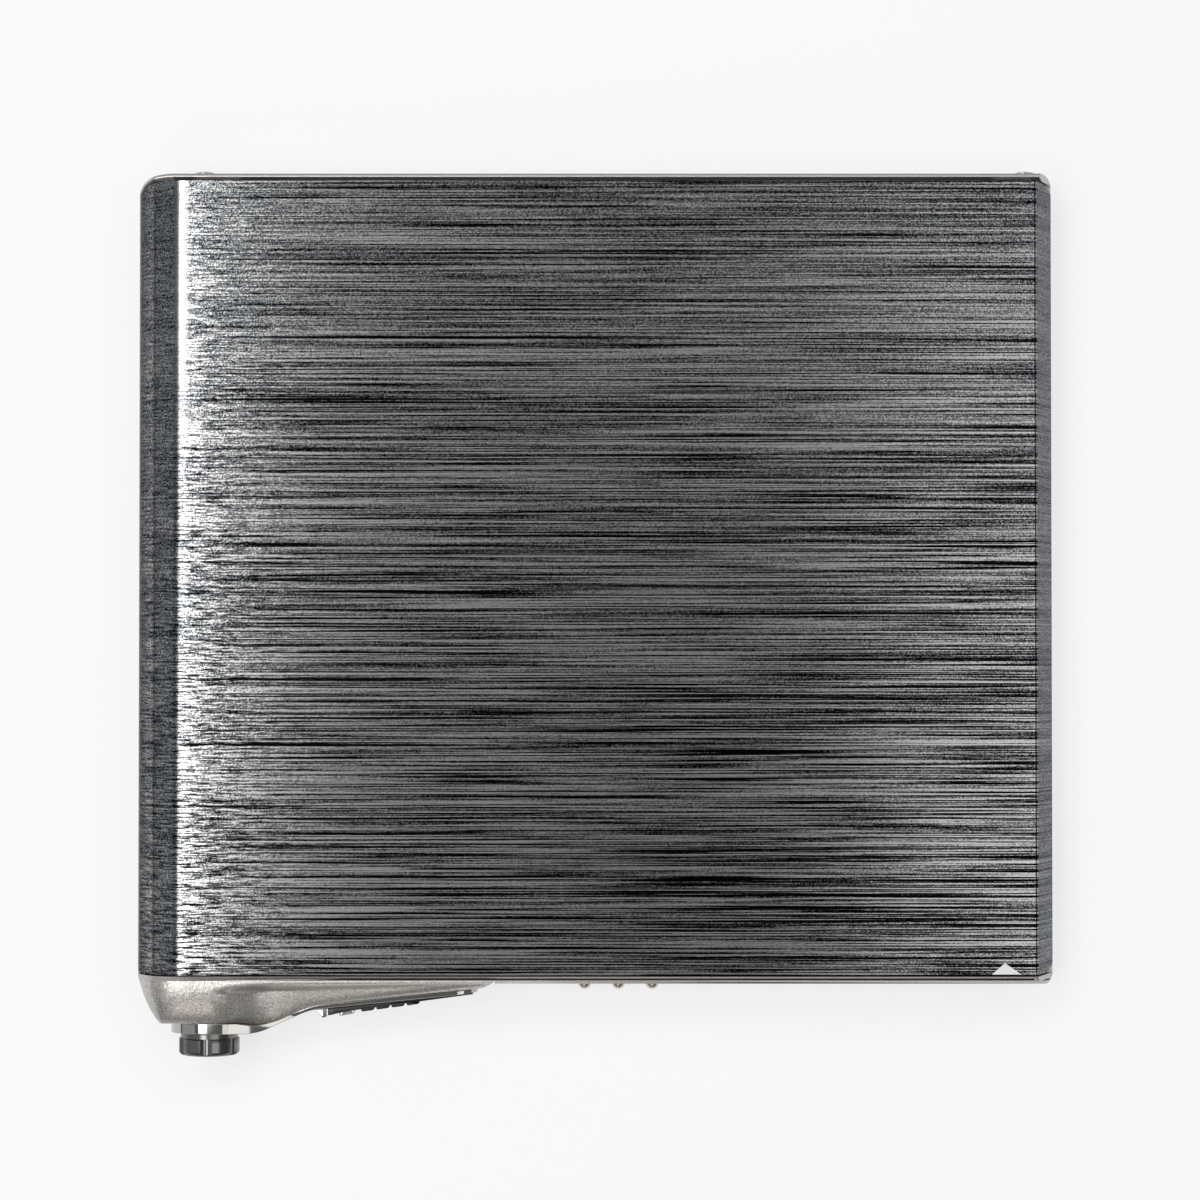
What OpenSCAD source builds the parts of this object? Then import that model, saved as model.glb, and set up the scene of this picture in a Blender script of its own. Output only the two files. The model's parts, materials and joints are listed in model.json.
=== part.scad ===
// Portable minidisc player: hinged lid, disc holder, jog crown, open slide and disc mechanism.
// Millimetres. X to the right, Y to the rear hinge, Z up; the origin is the centre of the base.

/* [Cartridge] */
// Width of the cartridge
cart_w = 72; // [64:0.1:80]
// Depth of the cartridge
cart_d = 68; // [60:0.1:76]
// Thickness of the cartridge
cart_t = 5; // [4.5:0.05:5.6]
// Room round the cartridge on each side
cart_clear = 0.04; // [0.03:0.01:0.06]

/* [Body] */
// Room from the rounded left side to the cartridge bay
left_room = 6.87; // [6.6:0.01:7.6]
// Room from the cartridge bay to the right edge
right_room = 2.95; // [2.8:0.01:3.6]
// Gap between the front rim and the disc holder
front_room = 0.55; // [0.4:0.05:1]
// Height of the seam between lid and case at the sides
seam_z = 5.2; // [5:0.1:5.6]
// Gap along that seam
seam_gap = 0.2; // [0.15:0.05:0.3]
// How far the right side leans in from the seam to the lid's top
bevel_in = 1.98; // [1.2:0.02:2]
// How far the right side leans in from the seam to the base
foot_in = 1.65; // [0.6:0.05:1.8]
// Corner radius in plan, rear left
corner_rear_left = 1.8; // [1:0.1:2.4]
// Corner radius in plan, at the right
corner_right = 1.0; // [0.6:0.1:1.4]

/* [Walls] */
// Thickness of the lid panel
lid_t = 0.5; // [0.4:0.05:0.6]
// Thickness of the case's side walls
case_t = 0.6; // [0.5:0.05:0.7]
// Thickness of the case's floor
floor_t = 0.5; // [0.4:0.05:0.6]
// Thickness of the bottom cover
cover_t = 0.4; // [0.3:0.05:0.5]
// Gap round the bottom cover
cover_gap = 0.1; // [0.05:0.05:0.2]
// Thickness of the rear wall
rear_t = 0.7; // [0.6:0.05:0.9]
// How far the rear wall's top lies below the lid's top
rear_drop = 1.3; // [1.3:0.05:1.8]

/* [Front edge] */
// Gap between the lid's edge and the front rim, and behind the lid
lid_gap = 0.15; // [0.12:0.01:0.25]
// Thickness of the front rim
rim_t = 0.4; // [0.3:0.05:0.5]
// How far the rim's top lies below the lid's top
rim_drop = 0.3; // [0.2:0.05:0.6]
// Width of the groove in front of the rim
groove_w = 0.15; // [0.1:0.01:0.2]
// Height of the groove's floor
groove_z = 5.5; // [5:0.1:6]
// Thickness of the front lip
lip_t = 0.3; // [0.25:0.05:0.4]
// Height of the front lip
lip_z = 7.0; // [6.6:0.1:7.4]

/* [Hinge] */
// Distance of the hinge line from the rear face
hinge_in = 1.6; // [1.6:0.05:1.9]
// Distance of the hinge line below the lid's top
hinge_drop = 1.6; // [1.6:0.05:1.8]
// Radius of the hinge pins
pin_r = 0.45; // [0.4:0.01:0.5]
// Radial clearance of the hinge pins
pin_clear = 0.03; // [0.02:0.01:0.05]
// Radius of knuckles, ears and lugs
knuckle_r = 0.8; // [0.75:0.01:0.85]
// Length of a lid knuckle
knuckle_l = 1.5; // [1:0.1:3]
// Gap between neighbouring knuckles
knuckle_gap = 0.15; // [0.1:0.01:0.2]
// Thickness of the lid's hinge strip
strip_t = 0.3; // [0.2:0.05:0.3]

/* [Disc holder] */
// Thickness of the holder's sheet
sheet_t = 0.25; // [0.2:0.01:0.28]
// Gap between the holder and the lid's inner face
holder_gap = 0.1; // [0.08:0.01:0.15]
// Width of the holder's lower lips
holder_lip = 3; // [2:0.1:4]
// Distance of the leaf springs' rivets from the cartridge's sides
rivet_in = 3.2; // [2.6:0.1:4]
// Length of the leaf springs
spring_l = 20; // [14:0.5:24]
// Width of the leaf springs
spring_w = 2.4; // [1.6:0.1:3]

/* [Controls] */
// Distance of the crown's axis from the left side
crown_in = 6.37; // [6.2:0.01:6.6]
// Radius of the crown
crown_r = 2.7; // [2.5:0.05:2.8]
// Thickness of the crown with its neck
crown_t = 2.01; // [1.9:0.01:2.1]
// Radius of the neck behind the crown's lobes
neck_r = 2.55; // [2.4:0.05:2.6]
// Length of the neck behind the crown's lobes
neck_t = 0.45; // [0.4:0.01:0.5]
// Number of lobes round the crown
crown_lobes = 6; // [4:1:8]
// Radius of the crown's shaft
shaft_r = 0.9; // [0.7:0.05:1]
// Radial clearance of the crown's shaft
shaft_clear = 0.05; // [0.03:0.01:0.08]
// Travel of the crown when it is pressed
press_travel = 0.3; // [0.2:0.02:0.3]
// Radius of the face plate's round end
collar_r = 3.4; // [3.3:0.05:3.6]
// Outer radius of the collar ring let into the face plate
ring_r = 3.1; // [3:0.05:3.2]
// Thickness of the collar ring
collar_t = 0.37; // [0.3:0.01:0.45]
// How far the collar ring stands in front of the face plate
collar_out = 0.05; // [0.03:0.01:0.08]
// Thickness of the face plate at the crown
plate_t = 0.93; // [0.8:0.01:1]
// Thickness of the face plate along the slide
plate_thin = 0.35; // [0.3:0.01:0.45]
// Gap between the face plate and the pod behind it
plate_gap = 0.03; // [0.02:0.01:0.05]
// Width of the strip beside the rim where it leaves the boss
strip_w0 = 1.2; // [1:0.05:1.4]
// Width of the strip beside the rim at the pod's tip
strip_w1 = 0.55; // [0.4:0.05:0.7]
// Width of the cove between the strip and the ledge
cove_w = 0.8; // [0.6:0.05:1]
// How far the face plate stands in front of the body at the crown
plate_out = 4.4; // [4.3:0.01:4.5]
// Half height of the face plate along the slide
plate_half = 1.9; // [1.7:0.05:1.95]
// Flat stretch of the face plate from the crown's middle to its first bend
flat_run = 3.6; // [3.5:0.1:3.8]
// Stretch over which the face plate gets thinner
thin_run = 3.6; // [3:0.1:4]
// Radius of the face plate's outward bend
bend_r1 = 4.6; // [4.4:0.1:5]
// Steepest angle of the face plate
bend_a = 23.4; // [22:0.1:24]
// Straight stretch between the two bends, along X
bend_run = 2.78; // [2.6:0.01:2.9]
// Radius of the face plate's inward bend
bend_r2 = 6.75; // [6:0.05:7.5]
// Angle of the face plate along the slide
slide_a = 5.7; // [5.2:0.1:6]
// Length of the open slide
slide_l = 13.4; // [12:0.1:13.6]
// Height of the open slide
slide_h = 2.8; // [2.4:0.1:3]
// Thickness of the open slide at its thick end
slide_t = 0.46; // [0.4:0.02:0.6]
// Travel of the open slide
slide_travel = 2.5; // [2:0.1:2.5]
// Ribs on the open slide
slide_ribs = 4; // [3:1:5]
// Running gap behind the slide and round the latch
slide_gap = 0.05; // [0.04:0.01:0.08]

/* [Connections] */
// Radius of the headphone socket
jack_r = 1.8; // [1.75:0.01:1.85]
// Outer radius of the headphone barrel
jack_barrel_r = 2.4; // [2.2:0.05:2.45]
// Length of the headphone barrel
jack_l = 13.8; // [12:0.1:14]
// Gap between the headphone barrel and its neighbours
jack_gap = 0.2; // [0.15:0.01:0.3]
// Pitch of the charging contacts
contact_pitch = 3.05; // [2.8:0.05:3.4]
// Radius of a charging contact
contact_r = 0.6; // [0.5:0.05:0.7]
// Height of the charging contacts
contact_z = 2.6; // [2.4:0.1:2.8]

/* [Mechanism] */
// Gap between deck and chassis, filled by the dampers
damper_gap = 0.3; // [0.2:0.05:0.5]
// Thickness of the chassis plate
chassis_t = 0.4; // [0.3:0.05:0.6]
// Height of the rotor above the chassis
rotor_h = 1.7; // [1.6:0.05:2]
// Room between the rotor and the cartridge
rotor_room = 0.66; // [0.55:0.01:0.8]
// Half depth of the chassis plate
chassis_half = 20; // [18.5:0.1:20.5]
// Radius of the spindle rotor
rotor_r = 8.2; // [7.5:0.1:8.4]
// Radius of the turntable ring
turntable_r = 5.5; // [5:0.1:6]
// Radius of the hub
hub_r = 2.0; // [1.8:0.05:2.2]
// Radius of the spindle bearing
bearing_r = 0.7; // [0.5:0.05:0.9]
// Radius of the guide rods
rod_r = 0.6; // [0.5:0.05:0.7]
// Distance of each guide rod from the disc's middle
rod_y = 12.5; // [12:0.1:13]
// Running clearance of rods, lead screw and bearing
run_clear = 0.03; // [0.02:0.01:0.05]
// Length of the pickup sled along its travel
sled_l = 10; // [9:0.1:10.2]
// Radius of the lead screw
screw_r = 0.55; // [0.45:0.05:0.6]
// Distance of the lead screw from the disc's middle
screw_y = 15.5; // [15:0.1:16]
// Room between the lead screw's end and the chassis edge
screw_end = 2; // [1.8:0.1:2.4]
// Length of the sled motor
motor_l = 11.4; // [10.5:0.1:11.6]
// How far the sled motor reaches past the disc's middle
motor_in = 6; // [5.8:0.1:6.5]
// Width of the battery cell
cell_w = 19; // [17:0.1:19.5]
// Depth of the battery cell
cell_d = 41; // [38:0.1:41.5]
// Thickness of the battery cell
cell_t = 2.7; // [2.4:0.05:2.8]
// Travel of the hold slider
hold_travel = 2.2; // [1.8:0.1:2.4]

/* [Hidden] */
$fn = 48;
eps = 0.02;

floor_z = cover_t + 0.05;
deck_z = floor_z + floor_t;
chassis_z = deck_z + damper_gap;
plate_top = chassis_z + chassis_t;
rotor_top = plate_top + rotor_h;
cart_foot = rotor_top + rotor_room;
cart_top = cart_foot + cart_t + cart_clear;
holder_top = cart_top + sheet_t;
lid_under = holder_top + holder_gap;
body_h = lid_under + lid_t;
body_w = left_room + cart_w + 2 * cart_clear + right_room;
holder_d = cart_d + 0.2;
body_d = lip_t + groove_w + rim_t + front_room + holder_d + 0.1 + knuckle_r + hinge_in;

x_left = -body_w / 2;
x_right = body_w / 2;
y_front = -body_d / 2;
y_rear = body_d / 2;
nose_r = body_h / 2;
nose_x = x_left + nose_r;
lid_foot = seam_z + seam_gap / 2;
case_top = seam_z - seam_gap / 2;
rear_in = y_rear - rear_t;
front_in = y_front + lip_t + groove_w + rim_t;
rim_front = front_in - rim_t;
rim_top = body_h - rim_drop;
rear_top = body_h - rear_drop;
lid_front = front_in + lid_gap;
lid_rear = rear_in - lid_gap;

hinge_y = y_rear - hinge_in;
hinge_z = body_h - hinge_drop;
hole_r = pin_r + pin_clear;

bay_left = x_left + left_room;
bay_right = x_right - right_room;
bay_x = (bay_left + bay_right) / 2;
holder_rear = hinge_y - knuckle_r - 0.1;
holder_front = holder_rear - holder_d;
disc_x = bay_x;
disc_y = (holder_front + holder_rear) / 2;

strip_x0 = bay_left + 0.9;
strip_x1 = bay_right - 0.95;
ear_w = 0.5;
lug_gap = knuckle_gap;

crown_x = x_left + crown_in;
crown_z = nose_r;
plate_y0 = y_front - plate_out;
crown_back = plate_y0 - collar_out;
bend_x1 = crown_x + flat_run;
bend_x2 = bend_x1 + bend_r1 * sin(bend_a);
bend_x3 = bend_x2 + bend_run;
bend_x4 = bend_x3 + bend_r2 * (sin(bend_a) - sin(slide_a));
bend_y2 = plate_y0 + bend_r1 * (1 - cos(bend_a));
bend_y3 = bend_y2 + bend_run * tan(bend_a);
bend_y4 = bend_y3 + bend_r2 * (cos(slide_a) - cos(bend_a));
plate_tip = bend_x4 + slide_l + 0.4;
wing_z = (lip_z + 1.6) / 2;
pod_tip = plate_tip + 1.6;

cell_x = bay_left + 1.6;
cell_y = disc_y - cell_d / 2 + 1;
chassis_x0 = cell_x + cell_w + 0.9;
chassis_x1 = bay_right + 0.2;
rod_z = plate_top + 0.85;
rod_x1 = chassis_x1 - 0.4;
sled_x = disc_x + rotor_r + 0.9;
rod_x0 = sled_x - 1.5;
sled_travel = rod_x1 - 0.74 - sled_x - sled_l;
screw_z = plate_top + 1.1;
lens_y = disc_y;

function clamp(v) = max(0, min(1, v));
function smooth(v) = let (c = clamp(v)) c * c * (3 - 2 * c);
function mix(a, b, f) = a + (b - a) * f;

// X of the right side at height z, drawn in by t
function right_x(z, t = 0) = z > seam_z
    ? x_right - bevel_in * (z - seam_z) / (body_h - seam_z) - t * norm([1, bevel_in / (body_h - seam_z)])
    : x_right - foot_in * (seam_z - z) / seam_z - t * norm([1, foot_in / seam_z]);

// Front face of the face plate at x: flat, bend out, straight, bend in, straight
function plate_y(x) = x < bend_x1 ? plate_y0
    : x < bend_x2 ? plate_y0 + bend_r1 - sqrt(bend_r1 ^ 2 - (x - bend_x1) ^ 2)
    : x < bend_x3 ? bend_y2 + (x - bend_x2) * tan(bend_a)
    : x < bend_x4 ? let (c = bend_x3 + bend_r2 * sin(bend_a))
        bend_y3 - bend_r2 * cos(bend_a) + sqrt(bend_r2 ^ 2 - (c - x) ^ 2)
    : bend_y4 + (x - bend_x4) * tan(slide_a);

// Back face of the face plate, which is also the pod's front
function plate_back(x) = plate_y(x) + mix(plate_t, plate_thin, clamp((x - crown_x - crown_r) / thin_run));

// Section of the whole body in X and Z, every side drawn in by t
module body_profile(t = 0, z0 = 0) {
    translate([nose_x, nose_r])
        circle(r = nose_r - t);
    polygon([[nose_x, t], [right_x(t, t), t], [right_x(seam_z, t), seam_z],
             [right_x(body_h - t, t), body_h - t], [nose_x, body_h - t]]);
}

// Extrudes an X-Z outline from y0 to y1
module along_y(y0, y1) {
    translate([0, y1, 0])
        rotate([90, 0, 0])
            linear_extrude(height = y1 - y0)
                children();
}

// Extrudes a Y-Z outline from x0 to x1
module along_x(x0, x1) {
    translate([x0, 0, 0])
        rotate([90, 0, 90])
            linear_extrude(height = x1 - x0)
                children();
}

// A box between two corners
module box(a, b) {
    translate(a)
        cube(b - a);
}

// A rod along X
module rod_x(x0, x1, y, z, r) {
    translate([x0, y, z])
        rotate([0, 90, 0])
            cylinder(r = r, h = x1 - x0);
}

// A rod along Y
module rod_along_y(y0, y1, x, z, r) {
    translate([x, y1, z])
        rotate([90, 0, 0])
            cylinder(r = r, h = y1 - y0);
}

// What is cut from a square corner to round it, the corner being at the origin
module corner_cut(r) {
    difference() {
        translate([-1, -1])
            square(r + 1);
        translate([r, r])
            circle(r = r);
    }
}

// Plan of the body between two Y values with its round corners
module body_plan(y0, y1, front_r) {
    difference() {
        translate([x_left, y0])
            square([body_w, y1 - y0]);
        translate([x_left, y1])
            mirror([0, 1])
                corner_cut(corner_rear_left);
        translate([x_right, y1])
            rotate(180)
                corner_cut(corner_right);
        translate([x_right, y0])
            mirror([1, 0])
                corner_cut(front_r);
    }
}

// Lid: brushed panel with the round left side and the bevelled right side in one sheet
module lid_panel() {
    color([0.33, 0.33, 0.34])
        difference() {
            intersection() {
                along_y(lid_front, lid_rear)
                    body_profile();
                translate([0, 0, lid_foot])
                    linear_extrude(height = body_h)
                        body_plan(lid_front, lid_rear, corner_right);
            }
            along_y(lid_front - 1, lid_rear + 1)
                body_profile(lid_t);
        }
}

// A knuckle on the hinge line with a web up to the lid
module lid_knuckle(x0) {
    rod_x(x0, x0 + knuckle_l, hinge_y, hinge_z, knuckle_r);
    box([x0, hinge_y - knuckle_r + 0.1, hinge_z], [x0 + knuckle_l, hinge_y + 0.45, lid_under - eps]);
}

module lid_hinge_strip() {
    color([0.7, 0.7, 0.7])
        difference() {
            union() {
                box([strip_x0, hinge_y - 0.75, lid_under - strip_t], [strip_x1, hinge_y + 0.45, lid_under]);
                lid_knuckle(strip_x0);
                lid_knuckle(strip_x1 - knuckle_l);
            }
            rod_x(x_left, x_right, hinge_y, hinge_z, hole_r);
        }
}

striker_x = bend_x4 + 8.2;
nib_z = wing_z + 1.1;

// Hook under the lid's front edge, open to the right so that the latch nib can leave it
module lid_striker() {
    y0 = lid_front + 0.1;
    y1 = y0 + 0.25;
    color([0.7, 0.7, 0.7]) {
        along_y(y0, y1)
            translate([striker_x, 0])
                polygon([[0, nib_z - 0.7], [2.2, nib_z - 0.7], [2.2, nib_z - 0.35], [0.5, nib_z - 0.35],
                         [0.5, nib_z + 0.4], [5, nib_z + 0.4], [5, lid_under], [0, lid_under]]);
        box([striker_x, y1 - eps, lid_under - 0.25], [striker_x + 5, y0 + 1.5, lid_under]);
    }
}

// An ear of the holder on the hinge line
module holder_ear(x0) {
    rod_x(x0, x0 + ear_w, hinge_y, hinge_z, knuckle_r);
    box([x0, holder_rear - 1, hinge_z - 0.1], [x0 + ear_w, hinge_y, holder_top - 0.35]);
    box([x0, holder_rear - 1, hinge_z - 0.1], [x0 + ear_w, holder_rear - eps, holder_top]);
}

rivet_y = disc_y - spring_l - 2;
window_w = cart_w / 2 - 14;
window_d = 14;

// Folded sheet that the cartridge slides into: top, two sides and two lower lips
module disc_holder() {
    color([0.72, 0.73, 0.75])
        difference() {
            union() {
                along_y(holder_front, holder_rear)
                    difference() {
                        translate([bay_left - sheet_t, cart_foot - sheet_t])
                            square([bay_right - bay_left + 2 * sheet_t, holder_top - cart_foot + sheet_t]);
                        translate([bay_left, cart_foot])
                            square([bay_right - bay_left, cart_top - cart_foot]);
                        translate([bay_left + holder_lip, cart_foot - 1])
                            square([bay_right - bay_left - 2 * holder_lip, 2]);
                    }
                holder_ear(strip_x0 - lug_gap - ear_w);
                holder_ear(strip_x1 + lug_gap);
                box([bay_left + 6, holder_rear - sheet_t, cart_foot + 1], [bay_right - 6, holder_rear, holder_top]);
            }
            rod_x(x_left, x_right, hinge_y, hinge_z, hole_r);
            // finger cut-out at the front
            translate([disc_x, holder_front - 4, cart_top - 1])
                cylinder(r = 20, h = 3);
            // striker clearance
            box([bay_left + 5, holder_front - 1, cart_top - 1], [bay_right - 5, holder_front + 1.4, holder_top + 1]);
            // windows that lighten the top
            for (side = [-1, 1], row = [0, 1])
                translate([disc_x + side * cart_w / 4 - window_w / 2, disc_y - 7 + row * (window_d + 4), cart_top - 1])
                    cube([window_w, window_d, 3]);
            // reliefs round the leaf springs' rivets
            for (side = [-1, 1])
                translate([disc_x + side * (cart_w / 2 - rivet_in), rivet_y, cart_top - 1])
                    cylinder(r = 0.7, h = 3);
        }
}

// Two leaf springs under the holder's top, each with its rivet
module holder_springs() {
    color([0.8, 0.78, 0.7])
        for (side = [-1, 1])
            translate([disc_x + side * (cart_w / 2 - rivet_in), rivet_y, 0]) {
                translate([-spring_w / 2, -1.5, cart_top - 0.1])
                    cube([spring_w, spring_l, 0.1]);
                translate([0, 0, cart_top - 0.05])
                    cylinder(r = 0.7, h = sheet_t + 0.05);
            }
}

// Tab at the holder's left side that pushes the cartridge's shutter open
module shutter_opener() {
    color([0.25, 0.25, 0.26])
        along_y(disc_y + 6, disc_y + 10)
            translate([bay_left, cart_foot + 1.6])
                polygon([[0, 0], [0.5, 0.3], [0.5, 1.5], [0, 1.8]]);
}

// Section of the rear wall in Y and Z, leaning back at the top to clear the lid as it swings
module rear_section() {
    edge = 0.3;
    polygon([[rear_in, 0], [y_rear, 0],
             for (a = [0:15:90]) [y_rear - edge + edge * cos(a), rear_top - edge + edge * sin(a)],
             [rear_in + 0.33, rear_top], [rear_in, rear_top - 0.6]]);
}

// Section of the front edge in Y and Z: rim, groove and lip
module front_section() {
    polygon([[y_front, 0], [y_front, lip_z], [y_front + lip_t, lip_z], [y_front + lip_t, groove_z],
             [rim_front, groove_z], [rim_front, rim_top], [front_in, rim_top], [front_in, 0]]);
}

screw_in = 4.2;
boss_z = deck_z + 1.5;
case_screw_spots = [[bay_left + 1.2, front_in + 2.4], [bay_right - 2.2, front_in + 2.4],
                    [bay_right - 2.2, rear_in - 2.6], [bay_left + 8, rear_in - 2.6]];
damper_spots = [for (sx = [chassis_x0 + 2, chassis_x1 - 2.2], sy = [-1, 1]) [sx, disc_y + sy * (chassis_half - 1.8)]];
contact_x = [for (i = [-1:1]) bay_x + 0.1 + i * contact_pitch];
hold_x = bay_left + 12;
hold_y = rear_in - 7.5;
hinge_screw_left = strip_x0 - 1.65;
hinge_screw_right = strip_x1 + 1.25;
hinge_screw_z = hinge_z - 1.1;
jack_in = left_room - sheet_t - jack_gap - 0.07 - jack_barrel_r;
jack_z = hinge_screw_z - 0.7 - jack_gap - jack_barrel_r;

module lower_case() {
    color([0.68, 0.66, 0.64])
        difference() {
            intersection() {
                union() {
                    intersection() {
                        along_y(y_front, y_rear)
                            body_profile();
                        box([x_left, y_front, 0], [x_right, y_rear, case_top]);
                    }
                    intersection() {
                        along_y(rear_in, y_rear)
                            body_profile();
                        along_x(x_left, x_right)
                            rear_section();
                    }
                    intersection() {
                        along_y(y_front, front_in)
                            body_profile();
                        along_x(x_left, x_right)
                            front_section();
                    }
                }
                linear_extrude(height = body_h)
                    body_plan(y_front, y_rear, corner_right);
            }
            // inside, above the deck
            intersection() {
                along_y(front_in, rear_in)
                    body_profile(case_t);
                box([x_left, front_in, deck_z], [x_right, rear_in, body_h]);
            }
            // seat of the bottom cover
            box([bay_left - cover_gap, front_in + 0.6, -1], [right_x(0) - 1.1 + cover_gap, rear_in - 0.4, floor_z]);
            // windows in the deck under the cell and the spindle
            box([cell_x - 0.3, cell_y - 0.3, 0], [cell_x + cell_w + 0.3, cell_y + cell_d + 0.3, deck_z + 1]);
            translate([disc_x, disc_y, 0])
                cylinder(r = rotor_r + 1, h = deck_z + 1);
            // seat of the control pod
            box([x_left - 1, y_front - 1, -1], [pod_tip, rim_front, body_h]);
            // way in for the latch nib
            box([striker_x + 0.5, y_front - 1, nib_z - 0.4],
                [striker_x + 2.1 + slide_travel, front_in + 0.1, nib_z + 0.4]);
            // sockets, screws and contacts
            rod_along_y(rear_in - 1, y_rear + 1, x_left + jack_in, jack_z, jack_r);
            for (x = [hinge_screw_left, hinge_screw_right])
                rod_along_y(rear_in - 1, y_rear + 1, x, hinge_screw_z, 0.48);
            for (x = contact_x)
                rod_along_y(y_front - 1, front_in + 0.1, x, contact_z, contact_r + 0.03);
            for (p = case_screw_spots)
                translate([p.x, p.y, -1])
                    cylinder(r = 0.45, h = boss_z + 2);
            // slot of the hold slider
            box([hold_x - 2 - hold_travel / 2 - 0.1, hold_y - 0.9, -1],
                [hold_x + 2 + hold_travel / 2 + 0.1, hold_y + 0.9, deck_z + 1]);
        }
    color([0.68, 0.66, 0.64])
        for (p = case_screw_spots)
            translate([p.x, p.y, deck_z - eps])
                difference() {
                    cylinder(r = 1.1, h = boss_z - deck_z);
                    translate([0, 0, -1])
                        cylinder(r = 0.45, h = 5);
                }
}

module bottom_cover() {
    color([0.6, 0.6, 0.6])
        difference() {
            box([bay_left, front_in + 0.6 + cover_gap, 0], [right_x(0) - 1.1, rear_in - 0.4 - cover_gap, cover_t]);
            for (p = case_screw_spots)
                translate([p.x, p.y, 0]) {
                    translate([0, 0, -1])
                        cylinder(r = 0.48, h = 3);
                    translate([0, 0, -eps])
                        cylinder(r1 = 0.95, r2 = 0.5, h = 0.3);
                }
            box([hold_x - 2 - hold_travel / 2 - 0.1, hold_y - 0.9, -1],
                [hold_x + 2 + hold_travel / 2 + 0.1, hold_y + 0.9, 1]);
        }
}

module case_screws() {
    color([0.2, 0.2, 0.2])
        for (p = case_screw_spots)
            translate([p.x, p.y, 0])
                difference() {
                    union() {
                        cylinder(r1 = 0.9, r2 = 0.45, h = 0.3);
                        cylinder(r = 0.45, h = boss_z - 0.1);
                    }
                    for (a = [0, 90])
                        rotate(a)
                            translate([-0.5, -0.09, -0.1])
                                cube([1, 0.18, 0.22]);
                }
}

pod_stations = 48;
pod_power = 3;
flank_in = 2.1;
flank_w = 3;
pod_in = 0.2;
pod_blend_x = bend_x2 - 2.2;
pod_corner = 2.2;

// Stations along the pod, closer together at its round left end
function pod_x(i) = mix(x_left + pod_in + 0.05, pod_tip, (i / pod_stations) ^ 1.5);
function pod_nose(x) = x < nose_x ? sqrt(nose_r ^ 2 - (nose_x - x) ^ 2) : nose_r;
function pod_round(x) = (1 - clamp((x_left + pod_in + pod_corner - x) / pod_corner) ^ 1.25) ^ 0.8
    * max(0.04, sqrt(1 - clamp((x - plate_tip) / (pod_tip - plate_tip)) ^ 2));
function pod_wing(x) = smooth((x - pod_blend_x) / 3.5);
function pod_depth(x) = (rim_front - plate_back(x) - plate_gap) * pod_round(x);
// Width of the strip that carries on from the rim
function pod_strip(x) = mix(strip_w0, strip_w1, clamp((x - bend_x3) / (plate_tip - bend_x3)));
// Top of the pod at a depth in front of the rim: boss, strip, cove and lower ledge
function pod_top(x, depth) = min(nose_r + pod_nose(x), mix(rim_top, lip_z,
    smooth((depth - pod_strip(x)) / cove_w) * smooth((x - bend_x2 + flank_in) / flank_w)));
function pod_foot(x) = max(mix(0.4, 1.6, pod_wing(x)), nose_r - pod_nose(x));
function pod_point(x, d, s) = [x, rim_front - pod_depth(x) * d,
    mix(pod_foot(x), pod_top(x, pod_depth(x) * (s > 0 ? d : 1)), (1 + s) / 2)];
function pod_ring(x) = [
    for (d = [0:0.07:0.45])
        pod_point(x, d, (1 - (d / 1.2) ^ pod_power) ^ (1 / pod_power)),
    for (a = [70:-10:-80])
        pod_point(x, min(1, 1.2 * cos(a) ^ (2 / pod_power)), sign(a) * abs(sin(a)) ^ (2 / pod_power)),
    pod_point(x, 0, -1)];

// Loft of the pod: boss on the left, drawn out into a low wing on the right
module pod_loft() {
    m = len(pod_ring(crown_x));
    polyhedron(
        points = [for (i = [0:pod_stations]) each pod_ring(pod_x(i))],
        faces = [
            [for (j = [0:m - 1]) j],
            [for (j = [m - 1:-1:0]) pod_stations * m + j],
            for (i = [0:pod_stations - 1], j = [0:m - 1])
                let (a = i * m + j, b = i * m + (j + 1) % m)
                each [[a, a + m, b], [b, a + m, b + m]]
        ]);
}

latch_x0 = bend_x4 + 4.5;
latch_x1 = striker_x + 1.9;
latch_y0 = rim_front - 0.8;
latch_y1 = rim_front - 0.35;
stem_x0 = bend_x4 + 5.6;
stem_x1 = bend_x4 + 7.6;

module latch_slot() {
    box([stem_x0 - 0.2, plate_y0, wing_z - 0.5], [stem_x1 + slide_travel + 0.2, rim_front + 1, wing_z + 0.5]);
}

module control_pod() {
    color([0.68, 0.66, 0.63])
        difference() {
            pod_loft();
            rod_along_y(plate_y0 - 1, rim_front - 0.6, crown_x, crown_z, crown_r - 0.1);
            box([latch_x0 - 0.2, latch_y0 - 0.1, wing_z - 0.6],
                [latch_x1 + slide_travel + 0.2, rim_front + 1, wing_z + 1.6]);
            latch_slot();
        }
}

// Face plate seen from the front: round end at the crown, narrow along the slide
module plate_front() {
    function f(x) = smooth((x - crown_x - 1) / 7);
    function half(x) = mix(collar_r, plate_half, f(x));
    function mid(x) = mix(crown_z, wing_z, f(x));
    xs = [for (i = [1:30]) mix(crown_x, plate_tip - plate_half, i / 31)];
    polygon([for (a = [90:10:270]) [crown_x + collar_r * cos(a), crown_z + collar_r * sin(a)],
             for (x = xs) [x, mid(x) - half(x)],
             for (a = [-90:10:90]) [plate_tip - plate_half + plate_half * cos(a), wing_z + plate_half * sin(a)],
             for (i = [len(xs) - 1:-1:0]) [xs[i], mid(xs[i]) + half(xs[i])]]);
}

// Face plate seen from above: the S between its two bends
module plate_plan() {
    xs = [for (i = [0:60]) mix(crown_x - collar_r - 0.3, plate_tip + 0.3, i / 60)];
    polygon([for (x = xs) [x, plate_y(x)],
             for (i = [len(xs) - 1:-1:0]) [xs[i], plate_back(xs[i])]]);
}

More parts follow.
